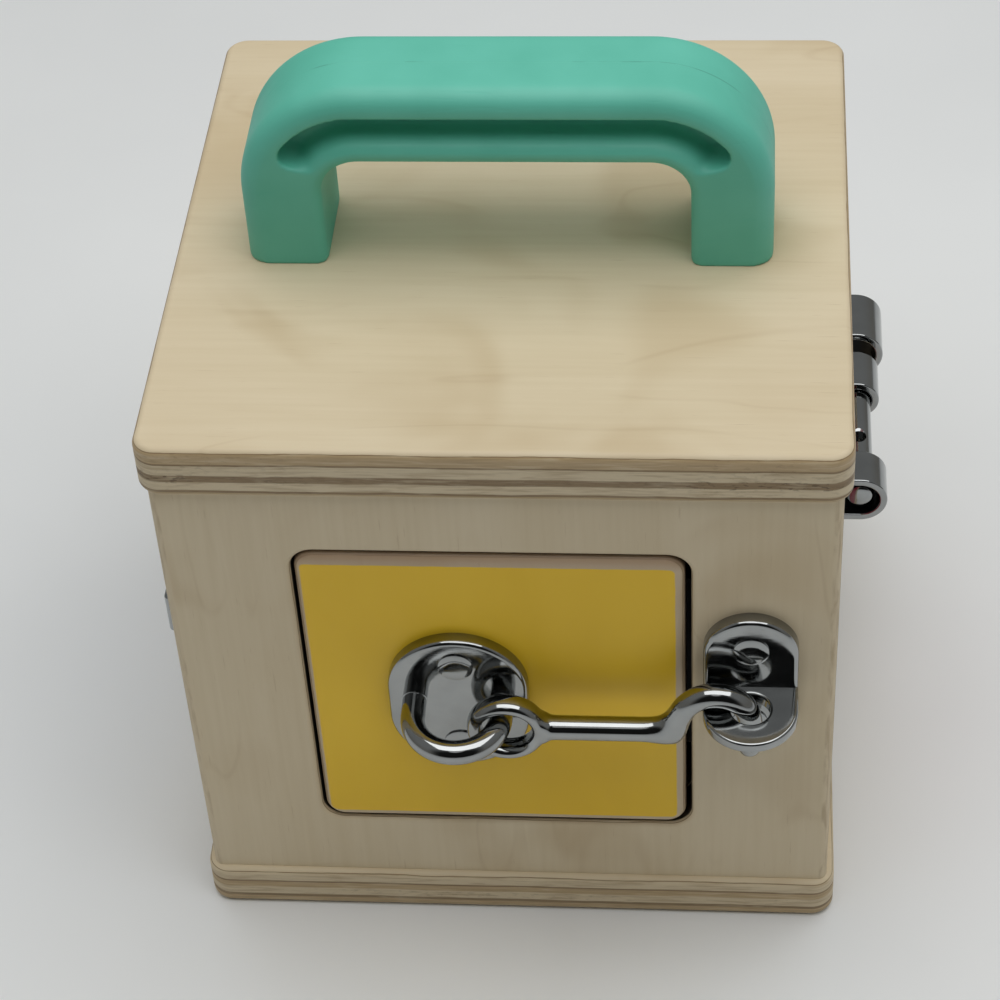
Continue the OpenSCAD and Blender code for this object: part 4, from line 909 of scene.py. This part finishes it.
bm = bmesh.new()
corners = ((low.x, low.y), (low.x + thick, low.y), (low.x + thick, high.y), (low.x, high.y))
foot = bm.faces.new([bm.verts.new((x, y, low.z)) for x, y in corners])
caps = drawOut(bm, [foot], (0, 0, bendHigh - low.z))
caps = turnBend(bm, caps, -1, math.pi / 2)
caps = drawOut(bm, caps, (2 * bendSide, 0, 0))
caps = turnBend(bm, caps, 1, math.pi / 2)
drawOut(bm, caps, (0, 0, low.z - bendHigh))
bmesh.ops.recalc_face_normals(bm, faces=bm.faces)
roundEdges(bm, lengthwise(bm, False), handle["outerEdge"] * mm, 8)
roundEdges(bm, lengthwise(bm, True), handle["innerEdge"] * mm, 6)
piece = finishPiece(bm, "carryHandle", "box", ["carry_handle"], "teal_plastic", teal, None, 180, False)
cutAway(piece, [grooveTool(1), grooveTool(-1)])
cast = piece.modifiers.new("cast", "REMESH")
cast.mode = "VOXEL"
cast.voxel_size = handle["voxel"] * mm
cast.use_smooth_shade = True
soften = piece.modifiers.new("soften", "SMOOTH")
soften.factor = handle["softness"]
soften.iterations = handle["rounds"]

# screws under the top plate, with a six sided recess in the head
screws = {"head": 2.6, "recess": 3.0, "deep": 1.4, "edge": 0.9, "shoulder": (0.25, 0.3), "stem": 4.8}
bm = bmesh.new()
low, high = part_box("handle_screws")
headHalf = (high.y - low.y) / 2
for x in (low.x + headHalf, high.x - headHalf):
    part = bmesh.new()
    bmesh.ops.create_circle(part, cap_ends=False, segments=36, radius=headHalf - screws["edge"] * mm)
    bmesh.ops.create_circle(part, cap_ends=False, segments=6, radius=screws["recess"] / 2 * mm)
    bmesh.ops.bridge_loops(part, edges=part.edges[:])
    outerRim = [e for e in part.edges if e.is_boundary and e.verts[0].co.length > screws["recess"] * mm]
    innerRim = [e for e in part.edges if e.is_boundary and e.verts[0].co.length < screws["recess"] * mm]
    sunk = vertsOf(bmesh.ops.extrude_edge_only(part, edges=innerRim))
    bmesh.ops.translate(part, verts=sunk, vec=(0, 0, screws["deep"] * mm))
    inward, up = (s * mm for s in screws["shoulder"])
    for grow, rise in ((headHalf - inward, up), (headHalf, screws["edge"] * mm), (headHalf, screws["head"] * mm)):
        made = vertsOf(bmesh.ops.extrude_edge_only(part, edges=outerRim))
        for v in made:
            flat = v.co.to_2d().normalized() * grow
            v.co = (flat.x, flat.y, rise)
        outerRim = [e for e in part.edges if e.is_boundary and all(v in made for v in e.verts)]
    bmesh.ops.holes_fill(part, edges=[e for e in part.edges if e.is_boundary], sides=0)
    joinInto(bm, part, Matrix.Translation((x, 0, low.z)))
    stem = bmesh.new()
    stand = Matrix.Translation((x, 0, (low.z + screws["head"] * mm + high.z) / 2))
    straightBar(stem, 24, screws["stem"] / 2 * mm, high.z - low.z - screws["head"] * mm, stand)
    joinInto(bm, stem)
finishPiece(bm, "handleScrews", "box", ["handle_screws"], "steel", steel)
print("handle made")


# floor and light
studio = {"floor": "#f1f3f3", "floorDark": "#eceeee", "floorSize": 8.0, "floorDrop": 0.2,
          "horizon": (0.21, 0.205, 0.19), "zenith": (0.25, 0.255, 0.253),
          "darkCard": {"towards": (0.05, -0.938, 0.342), "fades": (0.6, 0.883), "level": 0.0, "amount": 0.94},
          "paleCard": {"towards": (0.0, -0.53, 0.848), "fades": (0.978, 0.99), "level": 0.6, "amount": 1.0},
          "keyPlace": (0.1, 0.0, 1.2), "keyAim": (0, 0, 0.07), "keySize": 1.3, "keyPower": 11.2}
bm = bmesh.new()
bmesh.ops.create_grid(bm, x_segments=1, y_segments=1, size=studio["floorSize"])
mesh = bpy.data.meshes.new("floor")
bm.to_mesh(mesh)
bm.free()
floorFinish, tree, shader = newMaterial("paleFloor", 0.6)
coords = places(tree)[0]
cloud = stretchedNoise(tree, coords, [9] * 3, 3)
pale = blendColour(tree, between(tree, cloud, 0.3, 0.7), tone(studio["floor"]), tone(studio["floorDark"]))
tree.links.new(pale, shader.inputs["Base Color"])
mesh.materials.append(floorFinish)
floor = bpy.data.objects.new("floor", mesh)
floor.location.z = -studio["floorDrop"] * mm
scene.collection.objects.link(floor)
floor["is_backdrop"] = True

world = bpy.data.worlds.new("studio")
scene.world = world
world.use_nodes = True
tree = world.node_tree
way = put(tree, "ShaderNodeTexCoord").outputs["Generated"]
rise = put(tree, "ShaderNodeSeparateXYZ", {0: way}).outputs[2]
sky = blendColour(tree, between(tree, rise, 0.05, 0.6, 0, 1, True), (*studio["horizon"], 1), (*studio["zenith"], 1))
for card in (studio["darkCard"], studio["paleCard"]):  # in front, the pale one higher
    facing = put(tree, "ShaderNodeVectorMath", {0: way, 1: card["towards"]}, operation="DOT_PRODUCT")
    amount = between(tree, facing.outputs["Value"], *card["fades"], 0, card["amount"], True)
    sky = blendColour(tree, amount, sky, [card["level"]] * 3 + [1])
tree.links.new(sky, tree.nodes["Background"].inputs["Color"])
tree.nodes["Background"].inputs["Strength"].default_value = 1.0
lamp = bpy.data.lights.new("key", "AREA")
lamp.shape = "SQUARE"
lamp.size = studio["keySize"]
lamp.energy = studio["keyPower"]
key = bpy.data.objects.new("key", lamp)
key.location = studio["keyPlace"]
key.rotation_euler = (Vector(studio["keyAim"]) - key.location).to_track_quat("-Z", "Y").to_euler()
scene.collection.objects.link(key)
print("stage set")

low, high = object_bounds()
